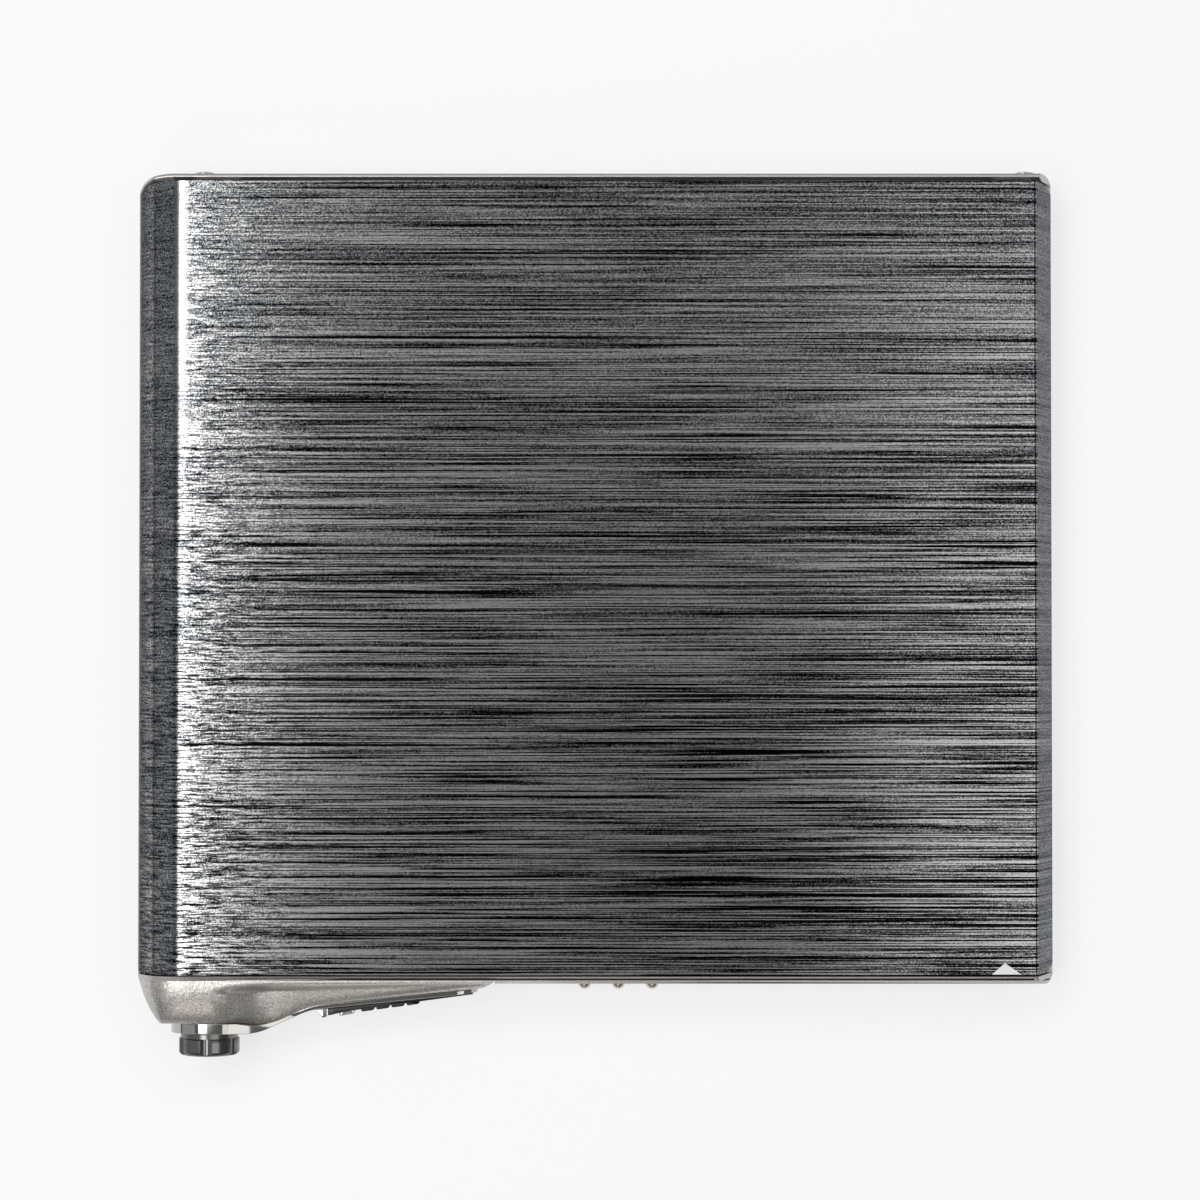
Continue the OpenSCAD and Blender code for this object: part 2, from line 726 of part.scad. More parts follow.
module face_plate() {
    color([0.85, 0.85, 0.86])
        difference() {
            intersection() {
                along_y(plate_y0 - 1, rim_front)
                    plate_front();
                linear_extrude(height = body_h)
                    plate_plan();
            }
            rod_along_y(plate_y0 - 1, rim_front, crown_x, crown_z, shaft_r + shaft_clear);
            rod_along_y(plate_y0 - 1, plate_y0 + collar_t - collar_out, crown_x, crown_z, ring_r);
            latch_slot();
        }
}

// Turns an outline about the crown's axis, its height pointing to the front
module turned(y) {
    translate([crown_x, y, crown_z])
        rotate([90, 0, 0])
            rotate_extrude()
                children();
}

module crown_collar() {
    inner = crown_r + 0.1;
    color([0.85, 0.85, 0.86])
        turned(plate_y0 + collar_t - collar_out)
            polygon([[inner, 0], [ring_r, 0], [ring_r, collar_t - 0.04], [ring_r - 0.04, collar_t],
                     [inner + 0.04, collar_t], [inner, collar_t - 0.04]]);
}

crown_y = crown_back - 0.02;
crown_seat = 0.7;

// Crown with a neck, a rounded front edge and a groove between neighbouring lobes
module jog_crown() {
    edge = 0.4;
    color([0.35, 0.35, 0.36])
        difference() {
            turned(crown_y)
                polygon([[0, 0], [neck_r, 0], [neck_r, neck_t], [crown_r - 0.12, neck_t], [crown_r, neck_t + 0.12],
                         for (a = [0:15:90])
                             [crown_r - edge + edge * cos(a), crown_t - edge + edge * sin(a)],
                         [0, crown_t]]);
            for (i = [0:crown_lobes - 1])
                translate([crown_x, crown_y, crown_z])
                    rotate([90, (i + 0.5) * 360 / crown_lobes, 0])
                        translate([crown_r + 0.3, 0, neck_t])
                            cylinder(r = 0.6, h = crown_t);
            rod_along_y(crown_y - crown_seat, crown_y + 1, crown_x, crown_z, shaft_r + 0.01);
        }
}

plunger_y0 = plate_y0 + plate_t + 0.3;
plunger_y1 = plunger_y0 + 2;

module crown_shaft() {
    color([0.7, 0.7, 0.72])
        rod_along_y(crown_y - crown_seat + 0.05, plunger_y1 + 0.2, crown_x, crown_z, shaft_r);
}

module jog_plunger() {
    color([0.2, 0.2, 0.21])
        difference() {
            union() {
                rod_along_y(plunger_y0, plunger_y1, crown_x, crown_z, shaft_r + 0.8);
                rod_along_y(plunger_y0 + 0.8, plunger_y0 + 1.3, crown_x, crown_z, crown_r - 0.2);
            }
            rod_along_y(plunger_y0 - 1, plunger_y1 + 1, crown_x, crown_z, shaft_r + shaft_clear);
        }
}

// Switch on the floor of the pod's pocket, behind the shaft's end
module jog_switch() {
    color([0.15, 0.15, 0.16])
        difference() {
            rod_along_y(rim_front - 1.1, rim_front - 0.6, crown_x, crown_z, crown_r - 0.15);
            rod_along_y(rim_front - 2, rim_front - 0.95, crown_x, crown_z, 0.6);
        }
}

// Thickness of the slide at x, with its thick left end
function slide_depth(x) = let (u = (x - bend_x4) / slide_l)
    slide_t * (1 - u) + 0.06 + 0.35 * exp(-14 * u);

// A piece of the slide between x0 and x1, from depth share d0 to the surface plus extra
module slide_patch(x0, x1, d0, extra, half, n = 8) {
    xs = [for (i = [0:n]) mix(x0, x1, i / n)];
    translate([0, 0, wing_z - half])
        linear_extrude(height = 2 * half)
            polygon([for (x = xs) [x, plate_y(x) - slide_gap - slide_depth(x) - extra],
                     for (i = [n:-1:0]) [xs[i], plate_y(xs[i]) - slide_gap - d0 * slide_depth(xs[i])]]);
}

rib_w = 1.15;
rib_pitch = 1.35;

module open_slide() {
    color([0.12, 0.12, 0.13]) {
        slide_patch(bend_x4, bend_x4 + slide_l, 0, 0, slide_h / 2, 24);
        for (i = [0:slide_ribs - 1])
            slide_patch(bend_x4 + 3.4 + i * rib_pitch, bend_x4 + 3.4 + i * rib_pitch + rib_w, 0.5, 0.28,
                        slide_h / 2 - 0.3, 3);
        box([stem_x0, plate_y(stem_x0) - slide_gap - 0.1, wing_z - 0.4], [stem_x1, latch_y0, wing_z + 0.4]);
    }
}

module slide_pip() {
    color([0.8, 0.8, 0.8])
        slide_patch(bend_x4 + 1.4, bend_x4 + 2.8, 1, 0.38, 0.7, 4);
}

// Bar behind the face plate, with the nib that holds the lid's striker
module latch_bar() {
    color([0.75, 0.75, 0.76]) {
        box([latch_x0, latch_y0, wing_z - 0.5], [latch_x1, latch_y1, wing_z + 1.5]);
        box([striker_x + 0.7, latch_y0, nib_z - 0.3], [striker_x + 1.9, lid_front - 0.06, nib_z + 0.3]);
    }
}

// Bracket with a lug on the hinge line, screwed to the rear wall
module hinge_bracket(x0, x1, screw_x) {
    color([0.6, 0.6, 0.6])
        difference() {
            union() {
                rod_x(x0, x1, hinge_y, hinge_z, knuckle_r);
                box([x0, hinge_y - 0.3, hinge_screw_z - 0.7], [x1, rear_in, hinge_z + 0.2]);
            }
            rod_x(x_left, x_right, hinge_y, hinge_z, hole_r);
            rod_along_y(hinge_y - 1, rear_in + 1, screw_x, hinge_screw_z, 0.47);
        }
}

lug_left = strip_x0 - 2 * lug_gap - ear_w;
lug_right = strip_x1 + 2 * lug_gap + ear_w;

module hinge_bracket_left() {
    hinge_bracket(hinge_screw_left - 0.8, lug_left, hinge_screw_left);
}

module hinge_bracket_right() {
    hinge_bracket(lug_right, lug_right + 0.95, hinge_screw_right);
}

module hinge_pins() {
    color([0.8, 0.8, 0.82]) {
        rod_x(hinge_screw_left - 0.7, strip_x0 + knuckle_l + 0.1, hinge_y, hinge_z, pin_r);
        rod_x(strip_x1 - knuckle_l - 0.1, lug_right + 0.85, hinge_y, hinge_z, pin_r);
    }
}

hinge_head_r = 1.1;
hinge_head_h = 0.3;

// Domed screws in the rear wall
module hinge_screws() {
    color([0.85, 0.85, 0.86])
        for (x = [hinge_screw_left, hinge_screw_right])
            translate([x, y_rear, hinge_screw_z])
                difference() {
                    rotate([-90, 0, 0])
                        rotate_extrude()
                            polygon([[0, -rear_t - 0.7], [0.45, -rear_t - 0.7], [0.45, 0], [hinge_head_r, 0],
                                     for (a = [15:15:75]) [hinge_head_r * cos(a), hinge_head_h * sin(a)],
                                     [0, hinge_head_h]]);
                    for (a = [0, 90])
                        rotate([0, a, 0])
                            translate([-0.5, hinge_head_h - 0.18, -0.09])
                                cube([1, 1, 0.18]);
                }
}

contact_out = 0.9;
block_d = 1.6;

// Charging contacts with round ends in front of the lip
module charge_contacts() {
    color([0.85, 0.72, 0.4])
        for (x = contact_x)
            translate([x, y_front, contact_z])
                rotate([90, 0, 0])
                    rotate_extrude()
                        polygon([[0, -2], [contact_r, -2],
                                 for (a = [0:15:75])
                                     [contact_r * cos(a), contact_out - contact_r + contact_r * sin(a)],
                                 [0, contact_out]]);
}

module contact_block() {
    color([0.12, 0.12, 0.12])
        difference() {
            box([contact_x[0] - block_d, front_in, deck_z], [contact_x[2] + block_d, front_in + block_d, contact_z + 1]);
            for (x = contact_x)
                rod_along_y(front_in - 1, front_in + 2 * block_d, x, contact_z, contact_r + 0.03);
        }
}

module headphone_jack() {
    x = x_left + jack_in;
    color([0.14, 0.14, 0.15])
        difference() {
            union() {
                rod_along_y(rear_in - jack_l, rear_in, x, jack_z, jack_barrel_r);
                box([x - 0.3, rear_in - jack_l, deck_z], [x + 1.9, rear_in - 1, jack_z]);
            }
            rod_along_y(rear_in - jack_l + 1, rear_in + 1, x, jack_z, jack_r);
        }
}

// Thumb piece in the underside, held by a flange above the deck
module hold_slider() {
    x = hold_x - hold_travel / 2;
    color([0.3, 0.3, 0.31])
        difference() {
            union() {
                box([x - 2, hold_y - 0.8, 0.06], [x + 2, hold_y + 0.8, deck_z + 0.1]);
                box([x - 3.4, hold_y - 1.8, deck_z + 0.05], [x + 3.4, hold_y + 1.8, deck_z + 0.45]);
            }
            for (i = [-2:2])
                translate([x + i * 0.7 - 0.12, hold_y - 0.6, -1])
                    cube([0.24, 1.2, 1.2]);
        }
}

// Plate that carries motor, rods and sled, with a window for the sled
module mech_chassis() {
    color([0.7, 0.71, 0.72])
        difference() {
            box([chassis_x0, disc_y - chassis_half, chassis_z], [chassis_x1, disc_y + chassis_half, plate_top]);
            box([sled_x - 0.5, disc_y - rod_y + 2.2, 0], [chassis_x1 - 2.4, disc_y + rod_y - 2.2, body_h]);
            for (p = damper_spots)
                translate([p.x, p.y, 0])
                    cylinder(r = 1.2, h = body_h);
            for (side = [-1, 1])
                translate([disc_x - 8, disc_y + side * 13.5, 0])
                    cylinder(r = 2.2, h = body_h);
            translate([disc_x, disc_y, 0])
                cylinder(r = 2.2, h = body_h);
        }
}

damper_top = plate_top + 0.3;

// Rubber grommets with a waist that the chassis sits in
module damper_grommets() {
    color([0.1, 0.1, 0.1])
        for (p = damper_spots)
            translate([p.x, p.y, 0])
                rotate_extrude()
                    polygon([[0.5, deck_z], [1.6, deck_z], [1.6, chassis_z], [1.18, chassis_z],
                             [1.18, plate_top], [1.6, plate_top], [1.6, damper_top], [0.5, damper_top]]);
}

module damper_screws() {
    color([0.75, 0.75, 0.76])
        for (p = damper_spots)
            translate([p.x, p.y, 0]) {
                translate([0, 0, deck_z])
                    cylinder(r = 0.48, h = damper_top - deck_z + 0.1);
                translate([0, 0, damper_top])
                    difference() {
                        cylinder(r = 1.2, h = 0.35);
                        for (a = [0, 90])
                            rotate(a)
                                translate([-0.6, -0.1, 0.15])
                                    cube([1.2, 0.2, 1]);
                    }
            }
}

coil_count = 6;

// Motor base with its bearing tube and the ring of flat coils under the rotor
module spindle_base() {
    color([0.55, 0.5, 0.42])
        difference() {
            translate([disc_x, disc_y, plate_top]) {
                cylinder(r = rotor_r + 0.6, h = 0.25);
                cylinder(r = 1.6, h = rotor_top - plate_top - 0.5);
                for (i = [0:coil_count - 1])
                    rotate(i * 360 / coil_count)
                        translate([4.6, 0, 0.2])
                            difference() {
                                cylinder(r = 1.7, h = 0.45);
                                translate([0, 0, -1])
                                    cylinder(r = 0.7, h = 3);
                            }
            }
            translate([disc_x, disc_y, 0])
                cylinder(r = bearing_r + run_clear, h = body_h);
        }
}

// Rotor cup with turntable ring, hub and shaft
module spindle_rotor() {
    color([0.78, 0.78, 0.79])
        translate([disc_x, disc_y, 0])
            rotate_extrude()
                polygon([[0, plate_top + 0.1], [bearing_r, plate_top + 0.1], [bearing_r, rotor_top - 0.4],
                         [rotor_r - 0.7, rotor_top - 0.4], [rotor_r - 0.7, plate_top + 0.75],
                         [rotor_r, plate_top + 0.75], [rotor_r, rotor_top - 0.2], [rotor_r - 0.2, rotor_top],
                         [turntable_r, rotor_top], [turntable_r, rotor_top + 0.35],
                         [turntable_r - 0.9, rotor_top + 0.35], [turntable_r - 0.9, rotor_top],
                         [hub_r, rotor_top], [hub_r, cart_foot + 0.1], [hub_r - 0.5, cart_foot + 0.4],
                         [0, cart_foot + 0.4]]);
}

module chuck_magnet() {
    color([0.25, 0.25, 0.27])
        translate([disc_x, disc_y, rotor_top])
            difference() {
                cylinder(r = turntable_r - 1, h = 0.25);
                translate([0, 0, -1])
                    cylinder(r = hub_r + 0.05, h = 3);
            }
}

module guide_rods() {
    color([0.85, 0.85, 0.87])
        for (side = [-1, 1])
            rod_x(rod_x0, rod_x1, disc_y + side * rod_y, rod_z, rod_r);
}

// A clip on the chassis round the end of a rod
module rod_clip(x, y, z, r) {
    difference() {
        box([x, y - 0.9, plate_top], [x + 0.7, y + 0.9, z + 0.9]);
        rod_x(x - 1, x + 2, y, z, r);
    }
}

screw_x1 = chassis_x1 - screw_end;

module rod_clips() {
    color([0.3, 0.3, 0.31]) {
        for (side = [-1, 1], x = [rod_x0, rod_x1 - 0.6])
            rod_clip(x, disc_y + side * rod_y, rod_z, rod_r + 0.01);
        rod_clip(screw_x1 - 0.6, disc_y - screw_y, screw_z, screw_r + run_clear);
    }
}

motor_x0 = disc_x - motor_in;
motor_x1 = motor_x0 + motor_l;

module sled_motor() {
    color([0.7, 0.7, 0.72])
        difference() {
            union() {
                rod_x(motor_x0, motor_x1, disc_y - screw_y, screw_z, 1.1);
                box([motor_x0 + 1, disc_y - screw_y - 0.8, plate_top], [motor_x1 - 1, disc_y - screw_y + 0.8, screw_z]);
            }
            rod_x(motor_x1 - 1.2, motor_x1 + 1, disc_y - screw_y, screw_z, screw_r + run_clear);
        }
}

module lead_screw() {
    color([0.82, 0.82, 0.84])
        rod_x(motor_x1 - 1.1, screw_x1 - 0.1, disc_y - screw_y, screw_z, screw_r);
}

sled_foot = plate_top + 0.1;
sled_top = plate_top + 1.65;
lens_bay_r = 2.6;
lens_x = sled_x + sled_l / 2;

// Sled on two rods, waisted in plan, with a round bay for the lens
module pickup_sled() {
    color([0.35, 0.35, 0.37])
        difference() {
            box([sled_x, disc_y - rod_y - 1.3, sled_foot], [sled_x + sled_l, disc_y + rod_y + 1.3, sled_top]);
            for (side = [-1, 1])
                rod_x(sled_x - 1, sled_x + sled_l + 1, disc_y + side * rod_y, rod_z, rod_r + run_clear);
            translate([lens_x, lens_y, 0])
                cylinder(r = lens_bay_r, h = body_h);
            for (side = [-1, 1], end = [0, sled_l])
                translate([sled_x + end, disc_y + side * 7.2, 0])
                    cylinder(r = 2.4, h = body_h);
            for (side = [-1, 1])
                translate([lens_x - 2, disc_y + side * 7.2 - 1.6, sled_top - 0.3])
                    cube([4, 3.2, 1]);
        }
}

module sled_nut() {
    color([0.85, 0.83, 0.78])
        difference() {
            box([sled_x + 2, disc_y - screw_y - 0.95, screw_z - 0.7],
                [sled_x + 6, disc_y - rod_y - 1.3, screw_z + 0.7]);
            rod_x(sled_x, sled_x + sled_l, disc_y - screw_y, screw_z, screw_r + run_clear);
        }
}

lens_r = 1.1;

module lens_holder() {
    color([0.1, 0.1, 0.11])
        translate([lens_x, lens_y, 0])
            difference() {
                translate([0, 0, sled_foot + 0.4])
                    cylinder(r = lens_bay_r - 0.3, h = sled_top - sled_foot - 0.5);
                cylinder(r = lens_r + 0.01, h = body_h);
            }
}

// Lens with a domed top, seated in its holder
module objective_lens() {
    lens_z = sled_top - 0.7;
    dome = 0.45;
    color([0.6, 0.75, 0.85])
        translate([lens_x, lens_y, lens_z])
            rotate_extrude()
                polygon([[0, 0], [lens_r, 0], [lens_r, 0.5],
                         for (a = [15:15:75]) [lens_r * cos(a), 0.5 + dome * sin(a)],
                         [0, 0.5 + dome]]);
}

board_x0 = bay_left + 4.5;
board_x1 = bay_right - 4.5;
board_y0 = front_in + 4.2;
board_y1 = min(disc_y - chassis_half - 0.6, cell_y - 1.1);
board_d = board_y1 - board_y0;
chip_h = 0.9;
chip_row_in = 8;
leaf_w = 2;
leaf_y = mix(board_y1, board_y0, 0.12);
board_z = deck_z + 0.5;

module main_board() {
    color([0.12, 0.32, 0.2])
        difference() {
            box([board_x0, board_y0, deck_z], [board_x1, board_y1, board_z]);
            for (x = [board_x0 + 2, board_x1 - 2])
                translate([x, board_y0 + 2, 0])
                    cylinder(r = 0.8, h = body_h);
        }
}

// Chips in a row along the board, as share of its length, width and depth
module board_chips() {
    chips = [[0.2, 7, 0.7], [0.42, 6, 0.6], [0.62, 8, 0.5], [0.85, 5, 0.4]];
    color([0.08, 0.08, 0.09]) {
        for (c = chips)
            translate([mix(board_x0, board_x1, c[0]) - c[1] / 2, mix(board_y0, board_y1, 0.5 - c[2] / 2), board_z])
                cube([c[1], board_d * c[2], chip_h]);
        for (i = [0:7])
            translate([mix(board_x0 + chip_row_in, board_x1 - chip_row_in, i / 7), board_y0 + 0.4, board_z])
                cube([1, 0.5, chip_h / 2]);
    }
}

module battery_cell() {
    edge = cell_t / 2;
    color([0.55, 0.56, 0.58])
        along_y(cell_y, cell_y + cell_d)
            translate([cell_x, floor_z + 0.05]) {
                translate([edge, 0])
                    square([cell_w - 2 * edge, cell_t]);
                for (x = [edge, cell_w - edge])
                    translate([x, edge])
                        circle(r = edge);
            }
}

// Two leaves from the board to the cell's end
module battery_contacts() {
    color([0.85, 0.72, 0.4])
        for (x = [cell_x + cell_w / 4, cell_x + cell_w * 3 / 4 - leaf_w])
            along_x(x, x + leaf_w)
                polygon([[leaf_y, board_z], [cell_y - 0.25, board_z], [cell_y - 0.25, board_z + 1.1],
                         [cell_y, board_z + 0.9], [cell_y, board_z + 1.15], [cell_y - 0.4, board_z + 1.4],
                         [cell_y - 0.45, board_z + 0.2], [leaf_y, board_z + 0.2]]);
}

lid_panel();
lid_hinge_strip();
lid_striker();
disc_holder();
holder_springs();
shutter_opener();
lower_case();
bottom_cover();
control_pod();
face_plate();
crown_collar();
jog_crown();
crown_shaft();
jog_plunger();
jog_switch();
open_slide();
slide_pip();
latch_bar();
hinge_bracket_left();
hinge_bracket_right();
hinge_pins();
hinge_screws();
case_screws();
charge_contacts();
contact_block();
headphone_jack();
hold_slider();
mech_chassis();
damper_grommets();
damper_screws();
spindle_base();
spindle_rotor();
chuck_magnet();
guide_rods();
rod_clips();
sled_motor();
lead_screw();
pickup_sled();
sled_nut();
lens_holder();
objective_lens();
main_board();
board_chips();
battery_cell();
battery_contacts();
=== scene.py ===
import json
from math import asin, cos, degrees, exp, hypot, pi, radians, sin, sqrt, tan

import bpy
from mathutils import Matrix, Vector

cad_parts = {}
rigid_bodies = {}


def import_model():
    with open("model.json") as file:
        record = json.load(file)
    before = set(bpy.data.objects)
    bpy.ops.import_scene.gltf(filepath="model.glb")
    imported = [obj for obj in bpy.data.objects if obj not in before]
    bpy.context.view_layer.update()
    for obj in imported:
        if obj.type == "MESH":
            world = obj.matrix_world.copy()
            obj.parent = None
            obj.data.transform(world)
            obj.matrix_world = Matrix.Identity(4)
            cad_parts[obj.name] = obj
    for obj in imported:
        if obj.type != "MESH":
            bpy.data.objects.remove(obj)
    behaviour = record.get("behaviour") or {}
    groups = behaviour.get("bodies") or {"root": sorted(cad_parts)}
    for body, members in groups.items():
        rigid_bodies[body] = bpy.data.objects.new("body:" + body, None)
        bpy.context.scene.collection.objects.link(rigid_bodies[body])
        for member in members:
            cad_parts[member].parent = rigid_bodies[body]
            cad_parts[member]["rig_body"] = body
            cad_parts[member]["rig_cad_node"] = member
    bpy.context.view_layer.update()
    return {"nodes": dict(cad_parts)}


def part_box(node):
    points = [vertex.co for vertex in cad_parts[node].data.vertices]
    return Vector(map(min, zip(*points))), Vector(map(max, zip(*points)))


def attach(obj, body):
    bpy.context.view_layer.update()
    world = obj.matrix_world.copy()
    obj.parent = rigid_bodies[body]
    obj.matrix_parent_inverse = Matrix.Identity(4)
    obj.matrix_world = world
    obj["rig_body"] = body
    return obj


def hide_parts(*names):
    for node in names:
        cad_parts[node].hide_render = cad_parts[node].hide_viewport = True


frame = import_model()
mm = 0.001
merge = {"ring": 0.00000005, "cad": 0.0000005, "flatDeg": 0.5}  # reach in metres, and the angle still flat
poleRadius = 0.0001  # mm, the ring at a turned form's pole
print("frame loaded:", len(frame["nodes"]), "nodes")


# small helpers
def nodeBox(node):
    low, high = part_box(node)
    return low / mm, high / mm


def mix(a, b, f):
    return a + (b - a) * f


def clamp(v):
    return max(0.0, min(1.0, v))


def smooth(v):
    c = clamp(v)
    return c * c * (3 - 2 * c)


# a step with no crease at either end
def smoother(v):
    c = clamp(v)
    return c ** 3 * (c * (6 * c - 15) + 10)


# the lower of two values, with the corner between them rounded
def softMin(a, b, k):
    h = clamp(0.5 + 0.5 * (b - a) / k)
    return mix(b, a, h) - k * h * (1 - h)


def spread(a, b, count):
    return [mix(a, b, i / (count - 1)) for i in range(count)]


def arc(cx, cy, r, fromDeg, toDeg, count):
    return [(cx + r * cos(radians(a)), cy + r * sin(radians(a))) for a in spread(fromDeg, toDeg, count)]


def deselect():
    if bpy.context.object and bpy.context.object.mode != "OBJECT":
        bpy.ops.object.mode_set(mode="OBJECT")
    bpy.ops.object.select_all(action="DESELECT")


def activate(piece):
    deselect()
    piece.select_set(True)
    bpy.context.view_layer.objects.active = piece


# edit mode, with all of one piece selected
def editAll(piece):
    activate(piece)
    bpy.ops.object.mode_set(mode="EDIT")
    bpy.ops.mesh.select_all(action="SELECT")


# turns every face outwards and leaves edit mode
def faceOutwards():
    bpy.ops.mesh.select_all(action="SELECT")
    bpy.ops.mesh.normals_make_consistent(inside=False)
    bpy.ops.object.mode_set(mode="OBJECT")


def joinPieces(pieces):
    activate(pieces[0])
    for other in pieces[1:]:
        other.select_set(True)
    bpy.ops.object.join()
    return pieces[0]


# a form drawn as rings of points in mm, skinned over a grid, its ends closed
def ringForm(name, rings, closeRing=True, capEnds=True):
    deselect()
    count = len(rings[0])
    cells = count if closeRing else count - 1
    bpy.ops.mesh.primitive_grid_add(x_subdivisions=cells, y_subdivisions=len(rings) - 1)
    piece = bpy.context.object
    piece.name = name
    for row, ring in enumerate(rings):
        for column in range(cells + 1):
            piece.data.vertices[row * (cells + 1) + column].co = Vector(ring[column % count]) * mm
    editAll(piece)
    bpy.ops.mesh.remove_doubles(threshold=merge["ring"])
    if capEnds:
        bpy.ops.mesh.select_all(action="DESELECT")
        bpy.ops.mesh.select_non_manifold(extend=False, use_wire=False, use_multi_face=False,
                                         use_non_contiguous=False)
        bpy.ops.mesh.fill_holes(sides=0)
    faceOutwards()
    return piece


# a turned form: outline of (radius, height) pairs in mm, spun about a point, heights to the front or rear
def turnedForm(name, outline, centre, side, count, waist=None):
    way = {"front": -1, "rear": 1}[side]
    rings = []
    for r, h in outline:
        ring = []
        for i in range(count):
            a = 2 * pi * i / count
            rr = max(r, poleRadius) * (waist(a, r) if waist else 1.0)
            ring.append(Vector(centre) + Vector((rr * cos(a), way * h, rr * sin(a))))
        rings.append(ring)
    return ringForm(name, rings)


# a plate: an outline in mm, filled and drawn out along a direction
def outlineForm(name, points, draw):
    deselect()
    bpy.ops.mesh.primitive_circle_add(vertices=len(points), radius=mm, fill_type="NGON")
    piece = bpy.context.object
    piece.name = name
    for vertex, point in zip(piece.data.vertices, points):
        vertex.co = Vector(point) * mm
    editAll(piece)
    bpy.ops.mesh.extrude_region_move(TRANSFORM_OT_translate={"value": Vector(draw) * mm})
    faceOutwards()
    return piece


# the outline of an upright section at x, its four corners rounded
def roundedSection(x, y0, y1, z0, z1, r, count):
    corners = ((y1 - r, z1 - r, 90), (y0 + r, z1 - r, 180), (y0 + r, z0 + r, 270), (y1 - r, z0 + r, 360))
    return [(x, y, z) for cy, cz, a in corners for y, z in arc(cy, cz, r, a - 90, a, count)]


# a merged copy of a CAD node, for finer edges
def nodeCopy(node, name):
    deselect()
    piece = frame["nodes"][node].copy()
    piece.data = frame["nodes"][node].data.copy()
    piece.name = name
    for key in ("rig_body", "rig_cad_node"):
        if key in piece:
            del piece[key]
    piece.parent = None
    bpy.context.scene.collection.objects.link(piece)
    editAll(piece)
    bpy.ops.mesh.remove_doubles(threshold=merge["cad"])
    bpy.ops.mesh.dissolve_limited(angle_limit=radians(merge["flatDeg"]))
    bpy.ops.object.mode_set(mode="OBJECT")
    return piece


# cuts a shape out of a piece, or keeps only what lies inside it
def cutAway(piece, cutter, operation="DIFFERENCE"):
    activate(piece)
    cut = piece.modifiers.new("cut", "BOOLEAN")
    cut.operation = operation
    cut.object = cutter
    cut.solver = "EXACT"
    bpy.ops.object.modifier_apply(modifier=cut.name)
    activate(cutter)
    bpy.ops.object.delete()


def cutBox(piece, low, high):
    deselect()
    bpy.ops.mesh.primitive_cube_add(size=1, location=[(a + b) / 2 * mm for a, b in zip(low, high)],
                                    scale=[(b - a) * mm for a, b in zip(low, high)])
    cutAway(piece, bpy.context.object)


# a round bar that runs from front to rear
def cutBar(piece, centre, radius, length):
    deselect()
    bpy.ops.mesh.primitive_cylinder_add(vertices=64, radius=radius * mm, depth=length * mm,
                                        location=[c * mm for c in centre], rotation=(radians(90), 0, 0))
    cutAway(piece, bpy.context.object)


def roundEdges(piece, width, segments, angle):
    activate(piece)
    bevel = piece.modifiers.new("edges", "BEVEL")
    bevel.width = width * mm
    bevel.segments = segments
    bevel.limit_method = "ANGLE"
    bevel.angle_limit = radians(angle)
    bevel.use_clamp_overlap = True
    bevel.miter_outer = "MITER_ARC"
    bpy.ops.object.modifier_apply(modifier=bevel.name)


def finishPiece(piece, rides, material, nodes, smoothAngle, even=False):
    activate(piece)
    bpy.ops.object.shade_smooth_by_angle(angle=radians(smoothAngle))
    if even:
        normals = piece.modifiers.new("normals", "WEIGHTED_NORMAL")
        normals.keep_sharp = True
        bpy.ops.object.modifier_apply(modifier=normals.name)
    piece.data.materials.clear()
    piece.data.materials.append(material)
    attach(piece, rides)
    if nodes:
        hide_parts(*nodes)


# shader nodes
def newGroup(name, given, masks):
    group = bpy.data.node_groups.new(name, "ShaderNodeTree")
    for label, value in given.items():
        socket = group.interface.new_socket(label, in_out="INPUT", socket_type="NodeSocketFloat")
        socket.default_value = value
    for label in masks:
        group.interface.new_socket(label, in_out="OUTPUT", socket_type="NodeSocketFloat")
    return group, group.nodes.new("NodeGroupInput"), group.nodes.new("NodeGroupOutput")


def putOut(group, out, **masks):
    for label, value in masks.items():
        group.links.new(value, out.inputs[label])


def placeGroup(tree, group, **values):
    node = tree.nodes.new("ShaderNodeGroup")
    node.node_tree = group
    for label, value in values.items():
        node.inputs[label].default_value = value
    return node.outputs


# the first value with each of the others in turn, one math node for each
def mathNode(tree, operation, first, *others):
    for other in others or (None,):
        node = tree.nodes.new("ShaderNodeMath")
        node.operation = operation
        for place, value in enumerate((first, other)):
            if isinstance(value, (int, float)):
                node.inputs[place].default_value = value
            elif value is not None:
                tree.links.new(value, node.inputs[place])
        first = node.outputs[0]
    return first


def times(tree, *values):
    return mathNode(tree, "MULTIPLY", *values)


def plus(tree, *values):
    return mathNode(tree, "ADD", *values)


def minus(tree, a, b):
    return mathNode(tree, "SUBTRACT", a, b)


# a mask drawn away from its middle value, or towards it
def contrast(tree, mask, strength):
    return plus(tree, times(tree, minus(tree, mask, 0.5), strength), 0.5)


def rangeNode(tree, value, fromLow, fromHigh, toLow=0.0, toHigh=1.0):
    node = tree.nodes.new("ShaderNodeMapRange")
    tree.links.new(value, node.inputs["Value"])
    ends = {"From Min": fromLow, "From Max": fromHigh, "To Min": toLow, "To Max": toHigh}
    for label, number in ends.items():
        node.inputs[label].default_value = number
    return node.outputs["Result"]


# a mask from 0 to 1 turned into a value between two others
def fade(tree, mask, atZero, atOne):
    return rangeNode(tree, mask, 0.0, 1.0, atZero, atOne)


def mixColour(tree, factor, a, b):
    node = tree.nodes.new("ShaderNodeMix")
    node.data_type = "RGBA"
    for label, kind, value in (("Factor", "VALUE", factor), ("A", "RGBA", a), ("B", "RGBA", b)):
        socket = [s for s in node.inputs if s.name == label and s.type == kind][0]
        if isinstance(value, tuple):
            socket.default_value = (*value, 1)
        else:
            tree.links.new(value, socket)
    return [s for s in node.outputs if s.type == "RGBA"][0]


